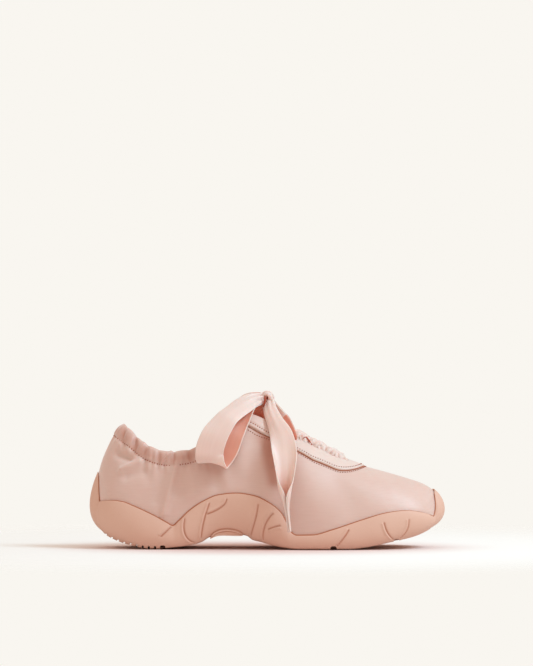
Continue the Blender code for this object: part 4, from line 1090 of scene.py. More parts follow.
def arch_bar():
    """Raised rubber bar under the arch, with rounded edges and a shallow recess in each end."""
    outline = flow(ARCH_BAR, np.linspace(0, len(ARCH_BAR), 8 * len(ARCH_BAR), endpoint=False), True)
    spine = np.array(ARCH_BAR_SPINE)
    middle = np.clip(outline[:, 0], spine[0, 0], spine[-1, 0])
    middle = np.column_stack([middle, np.interp(middle, *spine.T)])
    away = np.linalg.norm(outline - middle, axis=1, keepdims=True)
    low, high = ARCH_BAR_SIDES
    turns = np.linspace(0, math.pi / 2, 5)
    #           inset of the outline, and depth of the row below the bar's end
    steps = [(9.0, ARCH_BAR_RECESS), (1.1, ARCH_BAR_RECESS), (0.9, 0.1)]
    steps += [(ARCH_BAR_ROUND * (1 - math.sin(a)), ARCH_BAR_ROUND * (1 - math.cos(a))) for a in turns]
    steps += [(0.0, 0.8), (0.0, 3.0)]
    columns = []
    for end, into in ((low, 1), (high, -1)):
        side = [np.column_stack([outline + (middle - outline) * np.minimum(inset / away, 1.0),
                                 np.full(len(outline), end + into * depth)]) for inset, depth in steps]
        columns += side if into > 0 else side[::-1]
    points = np.array(columns)[..., [0, 2, 1]]
    points = np.concatenate([points, points[:, :1]], axis=1)
    # Painted shade: full at the inner edge of each end's recess, and a quarter across the bar's body between its ends
    shade = np.zeros(points.shape[:2])
    shade[[1, -2]] = 1.0
    count = len(steps)
    shade[count - 2:count + 2] = 0.25
    grid_piece("arch_bar", points, "sole_rubber", "rubber", merge=MERGE_SHARP, fold=shade)


# Columns and rows of the footbed, rows of its underside, the radius of its edge, the depth of its dish, and the width
# from which the dish is that deep
FOOTBED_COLUMNS, FOOTBED_ROWS, FOOTBED_UNDER = 150, 40, 8
FOOTBED_EDGE, FOOTBED_DISH, FOOTBED_FULL = 1.4, 2.0, 40.0


def footbed():
    """Footbed that lies on the sole inside the upper, dished and with rounded edges."""
    station = np.linspace(0, LAST_STATION, FOOTBED_COLUMNS)
    lateral, medial = (flow(FOOT_RING, place, True) - outward(place) * (UPPER_WALL + 2 * GAP) + UP * GAP / 2
                       for place in (station, opposite(station)))
    top = []
    for k in range(FOOTBED_ROWS + 1):
        f = k / FOOTBED_ROWS
        across = abs(2 * f - 1)
        line = lateral + (medial - lateral) * f
        width = np.linalg.norm((medial - lateral)[:, :2], axis=1)
        room = np.minimum(1.0, (1 - across) * width / 2 / FOOTBED_EDGE)
        rounded = np.sqrt(1 - (1 - room)**2)
        dish = FOOTBED_DISH * (1 - across**2) * np.minimum(1.0, width / FOOTBED_FULL)
        top.append(line + UP * (INSOLE_THICK * rounded - dish * rounded * 0.5)[:, None])
    under = [lateral + (medial - lateral) * (1 - k / FOOTBED_UNDER) for k in range(FOOTBED_UNDER + 1)]
    points = np.stack(top + under[1:], axis=1)
    grid_piece("footbed", points, "footbed", "footbed_knit", replaces=["insole"], cloth=points[..., :2])


# ---- Tongue and lace stay

# Columns and rows of the tongue, how thick its edge is against its middle, and how deep the lacing presses into it
TONGUE_GRID, TONGUE_THIN, TONGUE_PRESS = (70, 36), 0.35, 0.25
# Shares of its length and of its half width over which it thins out to its edge
TONGUE_STARTS, TONGUE_ENDS, TONGUE_SIDES = (0.0, 0.03), (0.98, 1.0), (0.86, 1.0)


def closed_wall(top, under):
    """Grid round a wall between two faces, closed at both of its ends."""
    points = np.concatenate([top, under[:, ::-1], top[:, :1]], axis=1)
    ends = [np.repeat(points[k:k + 1].mean(1, keepdims=True), points.shape[1], axis=1) for k in (0, -1)]
    return np.concatenate([ends[0], points, ends[1]], axis=0)


def tongue_piece(surface):
    """Padded tongue under the throat, with a rolled edge and the soft hollows that the lacing presses into it."""
    columns, rows = TONGUE_GRID
    xs = np.array([row[0] for row in TONGUE])
    heights = [(row[0], row[1]) for row in TONGUE]
    widths = [(row[0], row[2]) for row in TONGUE]
    height = partial(drop, surface)
    top = np.zeros((columns, rows, 3))
    for column in range(columns):
        x = xs[0] + (xs[-1] - xs[0]) * column / (columns - 1)
        middle, half = float(smooth(heights, x)), float(smooth(widths, x))
        for row in range(rows):
            y = half * (2 * row / (rows - 1) - 1)
            z = middle - (TONGUE_CROWN - math.sqrt(TONGUE_CROWN**2 - y * y))
            if abs(y) >= float(np.interp(x, TOP[:, 0], TOP[:, 2])) + 1.0:
                face, below = (on_surface(height, x, y, depth) for depth in (0.0, -1.0))
                z = min(z, face[2] - (UPPER_WALL + TONGUE_CLEAR) / (face - below)[2])
            top[column, row] = (x, y, z)
    run = np.linspace(0, 1, columns)[:, None]
    side = np.linspace(-1, 1, rows)[None, :]
    edge = np.minimum(ease(run, *TONGUE_STARTS) * (1 - ease(run, *TONGUE_ENDS)),
                      1 - ease(np.abs(side), *TONGUE_SIDES))
    thick = TONGUE_THICK * (TONGUE_THIN + (1 - TONGUE_THIN) * edge)
    pressed = TONGUE_PRESS * np.cos(math.tau * (top[..., 0] - EYELETS[0][0]) / (EYELETS[0][0] - EYELETS[1][0]))
    top[..., 2] -= (1 - edge) * 0.3 + np.clip(pressed, 0, None) * (1 - np.abs(side)**2) * edge
    under = top - UP * thick[..., None]
    points = closed_wall(top, under)
    grid_piece("tongue_pad", points, "lining", "satin", replaces=["tongue"], cloth=points[..., :2],
               fold=np.zeros(points.shape[:2]))


# Columns and rows of the lace stay, its distance off the upper, and the radius of its edges
STAY_COLUMNS, STAY_ROWS, STAY_REST, STAY_EDGE = 190, 22, 0.15, 0.7
# Height of the stay's face over the upper
STAY_FACE = STAY_REST + EYESTAY_WALL
# Painted shade: how much deeper the stay's colour is under the bow, and where along the shoe that ends
STAY_SHADE, STAY_LIT = 0.5, (126.0, 142.0)


def stay_outline(sides, front, count):
    """Plan of the lace stay's edge from its lateral back corner round the front to its medial back corner."""
    start, radius = front
    length = start - EYESTAY_BACK
    turn = math.pi * radius
    total = 2 * length + turn
    points = []
    for along in np.linspace(0, total, count):
        if along < length:
            x = EYESTAY_BACK + along
            points.append((x, -float(slot_half(sides, front, x))))
        elif along > length + turn:
            x = start - (along - length - turn)
            points.append((x, float(slot_half(sides, front, x))))
        else:
            angle = math.pi * ((along - length) / turn - 0.5)
            points.append((start + radius * math.cos(angle), sides[-1][1] * math.sin(angle)))
    return np.array(points)


def stay_point(surface, inner, outer, f, distance):
    """Point of the lace stay at a share of the way from its inner to its outer edge, at a distance off the upper."""
    x, y = inner + (outer - inner) * f
    return on_surface(partial(drop, surface), x, y, distance)


def lace_stay(surface):
    """Lace stay: a band with turned edges round the throat, that follows the upper's face."""
    inner = stay_outline(THROAT_SIDES, THROAT_FRONT, STAY_COLUMNS)
    outer = stay_outline(EYESTAY_SIDES, EYESTAY_FRONT, STAY_COLUMNS)
    low = np.zeros((STAY_COLUMNS, STAY_ROWS, 3))
    high = np.zeros_like(low)
    for column in range(STAY_COLUMNS):
        width = float(np.linalg.norm(outer[column] - inner[column]))
        for row in range(STAY_ROWS):
            f = row / (STAY_ROWS - 1)
            from_edge = min(f, 1 - f) * width
            rounded = math.sqrt(1 - (1 - min(from_edge / STAY_EDGE, 1.0))**2)
            low[column, row] = stay_point(surface, inner[column], outer[column], f, STAY_REST)
            raised = stay_point(surface, inner[column], outer[column], f, STAY_REST + 1.0) - low[column, row]
            stitched = 0.28 * math.exp(-((f * width - width + STITCH_IN) / 0.7)**2)
            high[column, row] = low[column, row] + raised * (EYESTAY_WALL * (0.12 + 0.88 * rounded) - stitched)
    points = closed_wall(high, low)
    run, up = run_along(points[:, STAY_ROWS // 2]), run_along(points[STAY_COLUMNS // 4])
    # Painted shade: the stay darkens towards its back, under the bow
    grid_piece("lace_stay", points, "trim_satin", "stay_satin", replaces=["eyestay"],
               cloth=np.stack(np.meshgrid(run, up, indexing="ij"), axis=-1),
               fold=STAY_SHADE * (1 - ease(points[..., 0], *STAY_LIT)))


# ---- Stitching

# How far inside and outside the lace stay's edge its two rows of stitches run, how deep the inner one sinks in and
# how high the outer one lies
STITCH_IN, STITCH_OUT, STITCH_SUNK, STITCH_LIFT = 2.0, 1.6, 0.22, 0.05
# Points along the stay's edge and round the collar that the stitches follow, and the station where the channel ends
STAY_POINTS, CUFF_POINTS, CHANNEL_END = 260, 500, 6.0
#            pitch radius
STAY_STITCH = (1.9, 0.42)
CUFF_STITCH = (2.1, 0.5)


def stitch_row(name, line, normals, size, length, sink, slot):
    """Row of stitches along a line of points: each a slim lozenge that dips into the cloth."""
    pitch, radius = size
    along = run_along(line)
    bm = bmesh.new()
    for middle in np.arange(pitch, along[-1] - pitch / 2, pitch):
        at, ahead, behind, up = (np.array([np.interp(s, along, field[:, k]) for k in range(3)]) for s, field in (
            (middle, line), (middle + length / 2, line), (middle - length / 2, line), (middle, normals)))
        course = Vector(ahead - behind).normalized()
        out = Vector(up).normalized()
        side = course.cross(out).normalized()
        turn = Matrix((course, side, side.cross(course))).transposed().to_4x4()
        seat = Matrix.Translation(Vector(at) - out * sink) @ turn @ Matrix.Diagonal((length / 2, radius, radius, 1))
        bmesh.ops.create_uvsphere(bm, u_segments=6, v_segments=6, radius=1.0,
                                  matrix=seat @ Matrix.Rotation(math.pi / 2, 4, "Y"))
    to_world(bm)
    add_piece(name, mesh_from(name, bm), slot, "thread")


def cuff_stitches(stitch_length):
    """Stitching of the collar's channel, round the whole ankle."""
    place = np.linspace(-CHANNEL_END, CHANNEL_END, CUFF_POINTS) % RING
    height = 1 - CUFF_LINE / girth_length(place)
    line = upper_faces(place[:, None], height[:, None], np.full((len(place), 1), CUFF_LINE), np.ones_like(place))[0]
    normals = last_normal(place, height)
    stitch_row("cuff_stitches", line[:, 0], normals, CUFF_STITCH, stitch_length, -0.12, "upper_satin")


def stay_stitches(surface, stitch_length):
    """Two rows of stitching along the lace stay, one on its edge and one on the upper beside it, and its seam."""
    inner = stay_outline(THROAT_SIDES, THROAT_FRONT, STAY_POINTS)
    outer = stay_outline(EYESTAY_SIDES, EYESTAY_FRONT, STAY_POINTS)
    for name, inset, lift, slot in (("stay_stitches", STITCH_IN, STAY_FACE - STITCH_SUNK, "trim_satin"),
                                    ("upper_stitches", -STITCH_OUT, STITCH_LIFT, "upper_satin")):
        line, normals = [], []
        for a, b in zip(inner, outer):
            f = 1 - inset / float(np.linalg.norm(b - a))
            low = stay_point(surface, a, b, f, lift)
            line.append(low)
            normals.append(stay_point(surface, a, b, f, lift + 1.0) - low)
        stitch_row(name, np.array(line), np.array(normals), STAY_STITCH, stitch_length, -0.05, slot)
    # Dark bead just outside the stay's edge: the seam there, deepened as painted shadow of the stay's edge on the upper
    line = np.array([stay_point(surface, a, b, 1 + STAY_SEAM_OUT / float(np.linalg.norm(b - a)), STAY_SEAM_LIFT)
                     for a, b in zip(inner, outer)])
    radius = STAY_SEAM * (0.55 + 0.45 * ease(line[:, 0], 140.0, 175.0))
    shadow_line("stay_seam", line, radius, "seam", "trim_satin")


# ---- Ribbon

# Widths of the ribbon, laid flat, puffed over the throat, pinched at its holes and as a strap
RIBBON_WIDTH, LACE_WIDTH, LACE_PINCH, STRAP_WIDTH = 21.0, 15.5, 10.5, 10.0
# How high the front bar and the crossings arch over the throat, and how much higher the upper ones of these lie
BAR_ARCH, LACE_ARCH, LACE_OVER = 0.6, 2.0, 1.3
# Height of the ribbon over the lace stay, and depth below the stay's face at which a strap starts in its hole
LACE_LIFT, STRAP_ROOT = 0.7, 2.2
# How far back and in from its hole a strap comes out
STRAP_BACK, STRAP_IN = 0.6, 0.4
# Share of a strap's length from which it shows its bright face both ways, its back no longer in the darker back colour
STRAP_TURN = 0.52


def ribbon_course(rows, side, columns):
    """Centres, directions across and directions out of a ribbon's face, evenly along a route drawn for the
    lateral side and turned to a side of the shoe."""
    rows = np.array([[*point, *across] for point, across in rows], float)
    rows[:, (1, 4)] *= -side
    fine = flow(rows, np.linspace(0, len(rows) - 1, 1500))
    run = run_along(fine[:, :3])
    even = np.linspace(0, run[-1], columns)
    row_at = np.interp(even, run, np.linspace(0, len(rows) - 1, 1500))
    course = np.stack([np.interp(even, run, fine[:, k]) for k in range(6)], axis=1)
    centre = course[:, :3]
    ahead = unit(np.gradient(centre, axis=0))
    across = course[:, 3:] - ahead * (course[:, 3:] * ahead).sum(1, keepdims=True)
    across = unit(across)
    return centre, across, np.cross(ahead, across) * -side, even, row_at


def ribbon_strip(name, middle, out, run, thickness, fold, back_or_shade=None, replaces=()):
    """Piece of ribbon about a grid of middle points: its front has the ribbon's face and its back the ribbon's back
    colour, unless the per-column flags say otherwise; the back colour also serves as painted shade. Cloth X runs along
    it and cloth Y across it."""
    out = face_normals(middle, out)
    rows = middle.shape[1]
    front, back = middle + out * thickness / 2, middle - out * thickness / 2
    points = np.concatenate([front, back[:, ::-1], front[:, :1]], axis=1)
    ends = [np.concatenate([middle[k], middle[k, ::-1], middle[k, :1]])[None] for k in (0, -1)]
    points = np.concatenate([ends[0], points, ends[1]], axis=0)
    y = np.linspace(-RIBBON_WIDTH / 2, RIBBON_WIDTH / 2, rows)
    y = np.concatenate([y, y[::-1], y[:1]])
    x = np.concatenate([run[:1], run, run[-1:]])
    cloth = np.stack(np.meshgrid(x, y, indexing="ij"), axis=-1)
    fold = np.concatenate([fold, fold[:, ::-1], fold[:, :1]], axis=1)
    fold = np.concatenate([fold[:1], fold, fold[-1:]], axis=0)
    faces = np.zeros((2, len(points)), int)
    faces[1] = 1
    if back_or_shade is not None:
        faces[:, 1:-1] = back_or_shade
    return grid_piece(name, points, "ribbon_satin", "ribbon_face", "ribbon_back", merge=MERGE_THIN, replaces=replaces,
                      cloth=cloth, fold=fold, paint=lambda column, row: faces[(row >= rows) * 1, column])


def face_normals(middle, out):
    """Directions square to a grid of points, on the side of given directions."""
    along = np.gradient(middle, axis=0)
    up = np.gradient(middle, axis=1)
    square = unit(np.cross(along, up))
    return square * np.where((square * out).sum(-1, keepdims=True) < 0, -1.0, 1.0)


def lace_base(surface, x, y):
    """Height of the upper's face under the laces, bridged over the throat."""
    edge = float(slot_half(THROAT_SIDES, THROAT_FRONT, x)) + 1.0
    if abs(y) >= edge:
        return drop(surface, x, y)
    low, high = drop(surface, x, -edge), drop(surface, x, edge)
    return low + (high - low) * (y / edge + 1) / 2


# Columns and rows of a crossing, how deep its ends dive into their holes, and over which share of its length
LACE_COLUMNS, LACE_ROWS, LACE_DIVE, LACE_DIVE_RUN = 44, 15, 4.2, 0.17
# Height of its puff and depth of its pleats at its ends, and how much these change to its middle
PUFF, PUFF_GROWS, PLEAT, PLEAT_FADES = 0.9, 1.7, 0.75, 0.5


def lace_course(surface, start, end, arch):
    """Route of a lace from one eyelet to another over the throat: it rises out of its hole, puffs and dives."""
    height = partial(lace_base, surface)
    centre, out = [], []
    for k in range(LACE_COLUMNS):
        f = k / (LACE_COLUMNS - 1)
        x, y = np.array(start) + (np.array(end) - np.array(start)) * f
        foot = on_surface(height, x, y, 0.0)
        normal = unit(on_surface(height, x, y, 1.0) - foot)
        near = min(f, 1 - f) / LACE_DIVE_RUN
        dive = LACE_DIVE * (1 - ease(near, 0.0, 1.0))
        lift = STAY_FACE + LACE_LIFT - dive + arch * math.sin(math.pi * f)**0.7
        centre.append(foot + normal * lift)
        out.append(normal)
    return np.array(centre), np.array(out)


def laid(centre, across, out, sideways, lift):
    """Grid of points at distances sideways and out from a course."""
    return centre[:, None] + across[:, None] * sideways[..., None] + out[:, None] * lift[..., None]


def lace_band(name, centre, out, seed, thick, replaces=()):
    """Gathered band of ribbon along a course: pinched and pleated at its ends, puffed between them."""
    columns = len(centre)
    ahead = unit(np.gradient(centre, axis=0))
    across = unit(np.cross(out, ahead))
    normal = unit(np.cross(ahead, across))
    f = np.linspace(0, 1, columns)
    t = np.linspace(-1, 1, LACE_ROWS)
    near = np.minimum(ease(f, 0.0, 0.42), 1 - ease(f, 0.58, 1.0))
    half = (LACE_PINCH + (LACE_WIDTH - LACE_PINCH) * near) / 2
    crown = PUFF + PUFF_GROWS * near
    pleat = (PLEAT - PLEAT_FADES * near)[:, None] * np.cos(math.pi * (2.6 * t[None, :] + 0.35 * math.sin(seed)
                                                          + 0.5 * np.sin(3.0 * f + seed)[:, None]))
    edge = np.abs(t)[None, :]**2.4
    middle = laid(centre, across, normal, half[:, None] * t[None, :], pleat - crown[:, None] * edge)
    # Painted shade: deeper colour in the pleats' troughs, towards the edges and near the pinched ends
    fold = np.clip(-pleat * 0.9, 0, 1) * (1 - 0.6 * near[:, None]) + 0.3 * edge + 0.12 * (1 - near[:, None])
    ribbon_strip(name, middle, normal[:, None], run_along(centre), thick, np.clip(fold, 0, 1), replaces=replaces)


def crease_shadow_bead(name, route, thickness, end, power, made_of):
    """Dark bead along a deep crease of the ribbon, thinning out at both ends: painted shadow in the crease."""
    line = flow(route, np.linspace(0, len(route) - 1, 40))
    taper = np.sin(math.pi * np.linspace(end, 1 - end, 40))**power
    shadow_line(name, line, thickness * taper, made_of, "ribbon_satin")


def lace_strap(name, surface, side, thick):
    """Strap from a top eyelet up to the knot, pinched in its hole: its back shows the darker back colour up to a share
    of its length, and the face colour after it.
    """
    x, half = EYELETS[-1]
    height = partial(lace_base, surface)
    hole = on_surface(height, x, side * half, STAY_FACE - STRAP_ROOT)
    above = on_surface(height, x - STRAP_BACK, side * (half - STRAP_IN), STAY_FACE + LACE_LIFT)
    points = [(point * np.array([1, -side, 1]), STRAP[0][1]) for point in (hole, above)]
    strap = [((point[0], -point[1], point[2]), (across[0], -across[1], across[2])) for point, across in STRAP]
    centre, across, out, run, _ = ribbon_course(points + strap, side, LACE_COLUMNS)
    f = np.linspace(0, 1, LACE_COLUMNS)
    t = np.linspace(-1, 1, LACE_ROWS)
    full = np.minimum(ease(f, 0.0, 0.35), 1 - 0.6 * ease(f, 0.55, 1.0))
    half_width = (LACE_PINCH + (STRAP_WIDTH - LACE_PINCH) * full) / 2
    pleat = 0.5 * (1.15 - full)[:, None] * np.cos(math.pi * (2.4 * t[None, :] + 0.5 * side))
    middle = laid(centre, across, out, half_width[:, None] * t[None, :], pleat - PUFF * t[None, :]**2)
    # Painted shade: the back keeps the darker back colour near the hole, and the strap darkens in its pleats, a little
    # all over and more there
    back_or_shade = np.array([np.zeros_like(f), f < STRAP_TURN])
    fold = np.clip(np.clip(-pleat, 0, 1) + 0.15 + 0.3 * back_or_shade[1][:, None], 0, 1)
    ribbon_strip(name, middle, out[:, None], run, thick, fold, back_or_shade)


def lacing(surface, thick):
    """The ribbon's crossings over the throat, each from hole to hole, and its two straps up to the knot."""
    front_x, front_half = EYELETS[0]
    rows = [("lace_bar", (front_x, -front_half), (front_x, front_half), BAR_ARCH)]
    for k, ((x, half), (next_x, next_half)) in enumerate(zip(EYELETS, EYELETS[1:])):
        for side, name in SIDES:
            arch = LACE_ARCH + LACE_OVER * (side == MEDIAL)
            rows.append((f"lace_{name}_{k}", (x, side * half), (next_x, -side * next_half), arch))
    for seed, (name, start, end, arch) in enumerate(rows):
        lace_band(name, *lace_course(surface, start, end, arch), seed, thick,
                  ["lace_crossings"] if name == "lace_bar" else ())
    # Painted shadow: a dark bead in the crease between two puffs of the lacing
    crease_shadow_bead("lace_crease", LACE_CREASE, 0.55, 0.04, 0.5, "crease")
    for side, name in SIDES:
        lace_strap(f"strap_{name}", surface, side, thick)


# Columns and rows of half of the bow
BOW_COLUMNS, BOW_ROWS = 300, 33
# The ribbon's turn inside the knot, between a loop and its tail
TURN = [((132.2, 0.2, 110.2), (0.45, -0.60, -0.30)),
        ((134.6, -0.4, 110.2), (0.85, -0.40, 0.15))]
# Shape of the bow's ribbon: a row, and there the share of its width, its crown, the depth of its pleats, and the angle
# through which its two edges curl in towards its face
BOW_SHAPE = [(0.0, 0.38, 0.5, 0.6, 0), (0.7, 0.62, 1.4, 0.35, 0), (1.5, 0.84, 2.0, 0.12, 0),
             (3.0, 0.98, 1.6, 0.04, 0), (5.0, 1.0, 1.0, 0.0, 0), (6.5, 1.0, 0.7, 0.0, 0), (8.0, 1.0, 0.7, 0.0, 0),
             (10.0, 0.94, 1.2, 0.05, 0), (11.5, 0.82, 1.6, 0.15, 0), (12.5, 0.62, 1.2, 0.45, 0),
             (13.5, 0.34, 0.6, 0.8, 0), (15.5, 0.34, 0.6, 0.9, 0), (16.3, 0.44, 1.4, 0.3, 0),
             (17.0, 0.5, 1.8, 0.16, 0), (18.0, 0.59, 2.0, 0.08, 5), (19.0, 0.86, 1.6, 0.02, 25),
             (20.0, 1.0, 1.0, 0.0, 55), (21.0, 1.0, 0.4, 0.0, 90), (21.8, 1.0, 0.0, 0.0, 125),
             (22.3, 1.0, 0.0, 0.0, 180), (22.7, 0.92, 0.0, 0.0, 230), (23.1, 0.6, 0.0, 0.0, 238),
             (23.5, 0.42, 0.0, 0.0, 230), (24.0, 0.36, 0.0, 0.0, 222), (25.0, 0.3, 0.0, 0.0, 205)]
# Share of the ribbon's half width that stays flat where its edges curl, how much further the heel's side curls,
# how far the other one lies over it, and the row of the tail from which both its faces take the bright face colour
CURL_FLAT, CURL_UNEVEN, CURL_OVER, CURL_BRIGHT = 0.15, 0.10, 0.9, 18.5
# The medial loop comes back lower under the knot, where it hangs inside the lateral one
MEDIAL_RETURN = [((108.5, -30.0, 84.0), (0.82, 0.1, -0.55)), ((115.0, -22.0, 92.5), (0.58, -0.36, -0.73)),
                 ((122.5, -12.0, 99.5), (0.3, -0.62, -0.72)), ((129.8, -3.5, 105.0), (0.1, -0.62, -0.76))]
# How much wider it is there and round which row, and how far the rest of it lies off the lateral loop from the side
MEDIAL_GATHER, GATHER_ROW, MEDIAL_SHIFT = 0.55, 12.8, (1.6, -1.6)
# Painted shade: how much deeper the ribbon's colour is down the outside of a loop, and the rows between which that
# comes and goes
LOOP_SHADE, LOOP_DIMS, LOOP_CLEARS = 0.27, (3.0, 5.0), (5.8, 7.2)
# The same painted shade inside the knot, where it comes in two steps
KNOT_SHADE, KNOT_DIMS, KNOT_CLEARS = 0.35, ((11.0, 12.5), (12.8, 13.4)), (15.0, 15.8)
# The rows between which both faces take the darker back colour as painted shade, on the way back to the knot and inside
# it
SHADED_FROM, SHADED_TO = {LATERAL: 13.0, MEDIAL: 10.0}, 15.6
# Pleats across half of the bow's ribbon, where it is drawn together
PLEATS = 2.7


def bow_half(label, side, thick):
    """One continuous ribbon of the bow: out of the knot, round a loop, back through the knot and down a tail."""
    shift_x, shift_z = MEDIAL_SHIFT
    loop = LOOP if side == LATERAL else LOOP[:2] + [
        ((x + shift_x, y, z + shift_z), across) for (x, y, z), across in LOOP[2:-len(MEDIAL_RETURN)]] + MEDIAL_RETURN
    centre, across, out, run, row_at = ribbon_course(loop + TURN + TAIL, side, BOW_COLUMNS)
    rows, *shapes = np.array(BOW_SHAPE).T
    blur = np.hanning(13) / np.hanning(13).sum()
    width, crown, depth, bend = (np.convolve(np.pad(np.interp(row_at, rows, shape), 6, "edge"), blur, "valid")[:, None]
                                  for shape in shapes)
    if side == MEDIAL:
        width = width + MEDIAL_GATHER * hump(row_at - GATHER_ROW, 0.8)[:, None]
    t = np.linspace(-1, 1, BOW_ROWS)[None, :]
    curl = np.radians(np.maximum(bend, 1.0)) * (1 - CURL_UNEVEN * t) / (1 - CURL_FLAT)
    curled = np.clip(np.abs(t) - CURL_FLAT, 0, None)
    reach = np.sign(t) * (np.minimum(np.abs(t), CURL_FLAT) + np.sin(curl * curled) / curl)
    over = CURL_OVER * ease(bend, 150, 215) * ease(t, 0.2, 0.6)
    f = (run / run[-1])[:, None]
    pleat = depth * 1.1 * np.cos(math.pi * (PLEATS * t + 0.25 * np.sin(9 * f)))
    ruffle = 0.22 * np.sin(f * 41.0 + side) * np.abs(t)**3
    half = RIBBON_WIDTH / 2 * width
    lift = pleat + ruffle * (1 - ease(bend, 20, 60)) - crown * t**2 + half * (1 - np.cos(curl * curled)) / curl + over
    middle = laid(centre, across, out, half * reach, lift)
    # Painted shade: deeper colour in the valley where the tail's edges curl in, in the pleats, down the outside of a
    # loop and inside the knot
    valley = 0.62 * ease(bend, 30, 170) * (1 - ease(np.abs(t), 0.3, 0.85))
    loop_shade = LOOP_SHADE * ease(row_at, *LOOP_DIMS) * (1 - ease(row_at, *LOOP_CLEARS))
    valley = valley + loop_shade[:, None]
    inside = sum(KNOT_SHADE * ease(row_at, *step) for step in KNOT_DIMS)
    inside = (inside * (1 - ease(row_at, *KNOT_CLEARS)))[:, None]
    fold = np.clip(np.clip(-pleat * 0.7, 0, 1) * depth**0.5 + valley + inside, 0, 1)
    # Which faces take the darker back colour: the front as painted shade in the knot, and the back until the tail's
    # bright rows
    back_or_shade = np.array([(row_at > SHADED_FROM[side]) & (row_at < SHADED_TO), row_at < CURL_BRIGHT])
    obj = ribbon_strip(f"bow_{label}", middle, out[:, None], run, thick, fold, back_or_shade,
                       [f"bow_loop_{label}", f"bow_tail_{label}"])
    return obj, centre, run[-1]


# Columns and rows of the ribbon round the knot, how far round it goes and from which angle, and how much it closes in
KNOT_COLUMNS, KNOT_ROWS, KNOT_TURNS, KNOT_START, KNOT_SPIRAL = 96, 21, 1.12, 2.6, 0.13


def knot_wrap(thick):
    """The turn of ribbon that ties the bow: a pleated band wound round it, drawn in at both sides."""
    (x, y, z), (radius_x, radius_z) = KNOT
    turn = np.linspace(0, math.tau * KNOT_TURNS, KNOT_COLUMNS)[:, None]
    t = np.linspace(-1, 1, KNOT_ROWS)[None, :]
    spiral = 1.0 - KNOT_SPIRAL * turn / math.tau
    angle = turn + KNOT_START
    draw_x, draw_z = 1 - 0.82 * np.abs(t)**2.3, 1 - 0.52 * np.abs(t)**2.6
    pleat = 0.34 * np.cos(math.pi * 3.1 * t + 0.8 * np.sin(turn)) * (1 - t**4)
    half = 5.6 - 1.0 * np.sin(turn)
    reach_x, reach_z = (radius * spiral * draw + pleat for radius, draw in ((radius_x, draw_x), (radius_z, draw_z)))
    middle = np.stack([x + reach_x * np.sin(angle), y + half * t + 0.8 * np.cos(turn),
                       z + reach_z * np.cos(angle)], axis=-1)
    out = middle - np.array([x, 0, z])
    out[..., 1] = 0.0
    # Painted shade: the wrap darkens in its pleats, towards its drawn-in sides and over its lower quarter towards the
    # heel
    shaded_quarter = (np.cos(angle) < -0.25) & (np.sin(angle) < 0.1)
    fold = np.clip(np.clip(-pleat * 2.0, 0, 1) + 0.5 * ease(np.abs(t), 0.7, 1.0) + shaded_quarter, 0, 1)
    return ribbon_strip("knot_wrap", middle, unit(out), turn[:, 0] * 6.0, thick, fold, replaces=["bow_knot"])


# Half sizes of what fills the knot
KNOT_CORE = (4.0, 4.6, 4.9)


def knot_core():
    """Crumpled ribbon that fills the inside of the knot, in a deep colour with fixed painted shade: it stands in for
    the shade in there.
    """
    bm = bmesh.new()
    bmesh.ops.create_uvsphere(bm, u_segments=40, v_segments=24, radius=1.0)
    for vert in bm.verts:
        angle = math.atan2(vert.co.z, vert.co.x)
        crumple = 1 + 0.07 * math.cos(7 * angle + 3 * vert.co.y) + 0.04 * math.cos(13 * angle - 5 * vert.co.y)
        vert.co = [k * crumple * radius * MM for k, radius in zip(vert.co, KNOT_CORE)]
    bmesh.ops.translate(bm, vec=world(KNOT[0]), verts=bm.verts)
    mesh = mesh_from("knot_core", bm)
    # Painted shade: the whole core takes a fixed, deep shade
    layer = mesh.attributes.new("fold", "FLOAT", "POINT")
    layer.data.foreach_set("value", np.full(len(mesh.vertices), 0.8, np.float32))
    mesh.uv_layers.new(name="cloth")
    crease_shadow_bead("knot_crease", KNOT_CREASE, 1.0, 0.03, 0.6, "knot_inside")
    add_piece("knot_core", mesh, "ribbon_satin", "knot_inside")


@lru_cache(maxsize=1)
def shoe_surface():
    """Search tree of the upper's outer face, carried on over the throat."""
    place = even_places(1.6)
    shares = np.linspace(0, 1, 90)
    length = girth_length(place)
    places, height = np.meshgrid(place, shares, indexing="ij")
    outer = upper_faces(places, height, length[:, None] * (1 - height), np.ones(len(place)))[0]
    return face_tree(outer)


# ---- Sizes and colours

def colour_property(name, description, default):
    """Colour that the user can set."""
    return FloatVectorProperty(name=name, description=description, subtype="COLOR", size=3, min=0, max=1,
                               default=default)


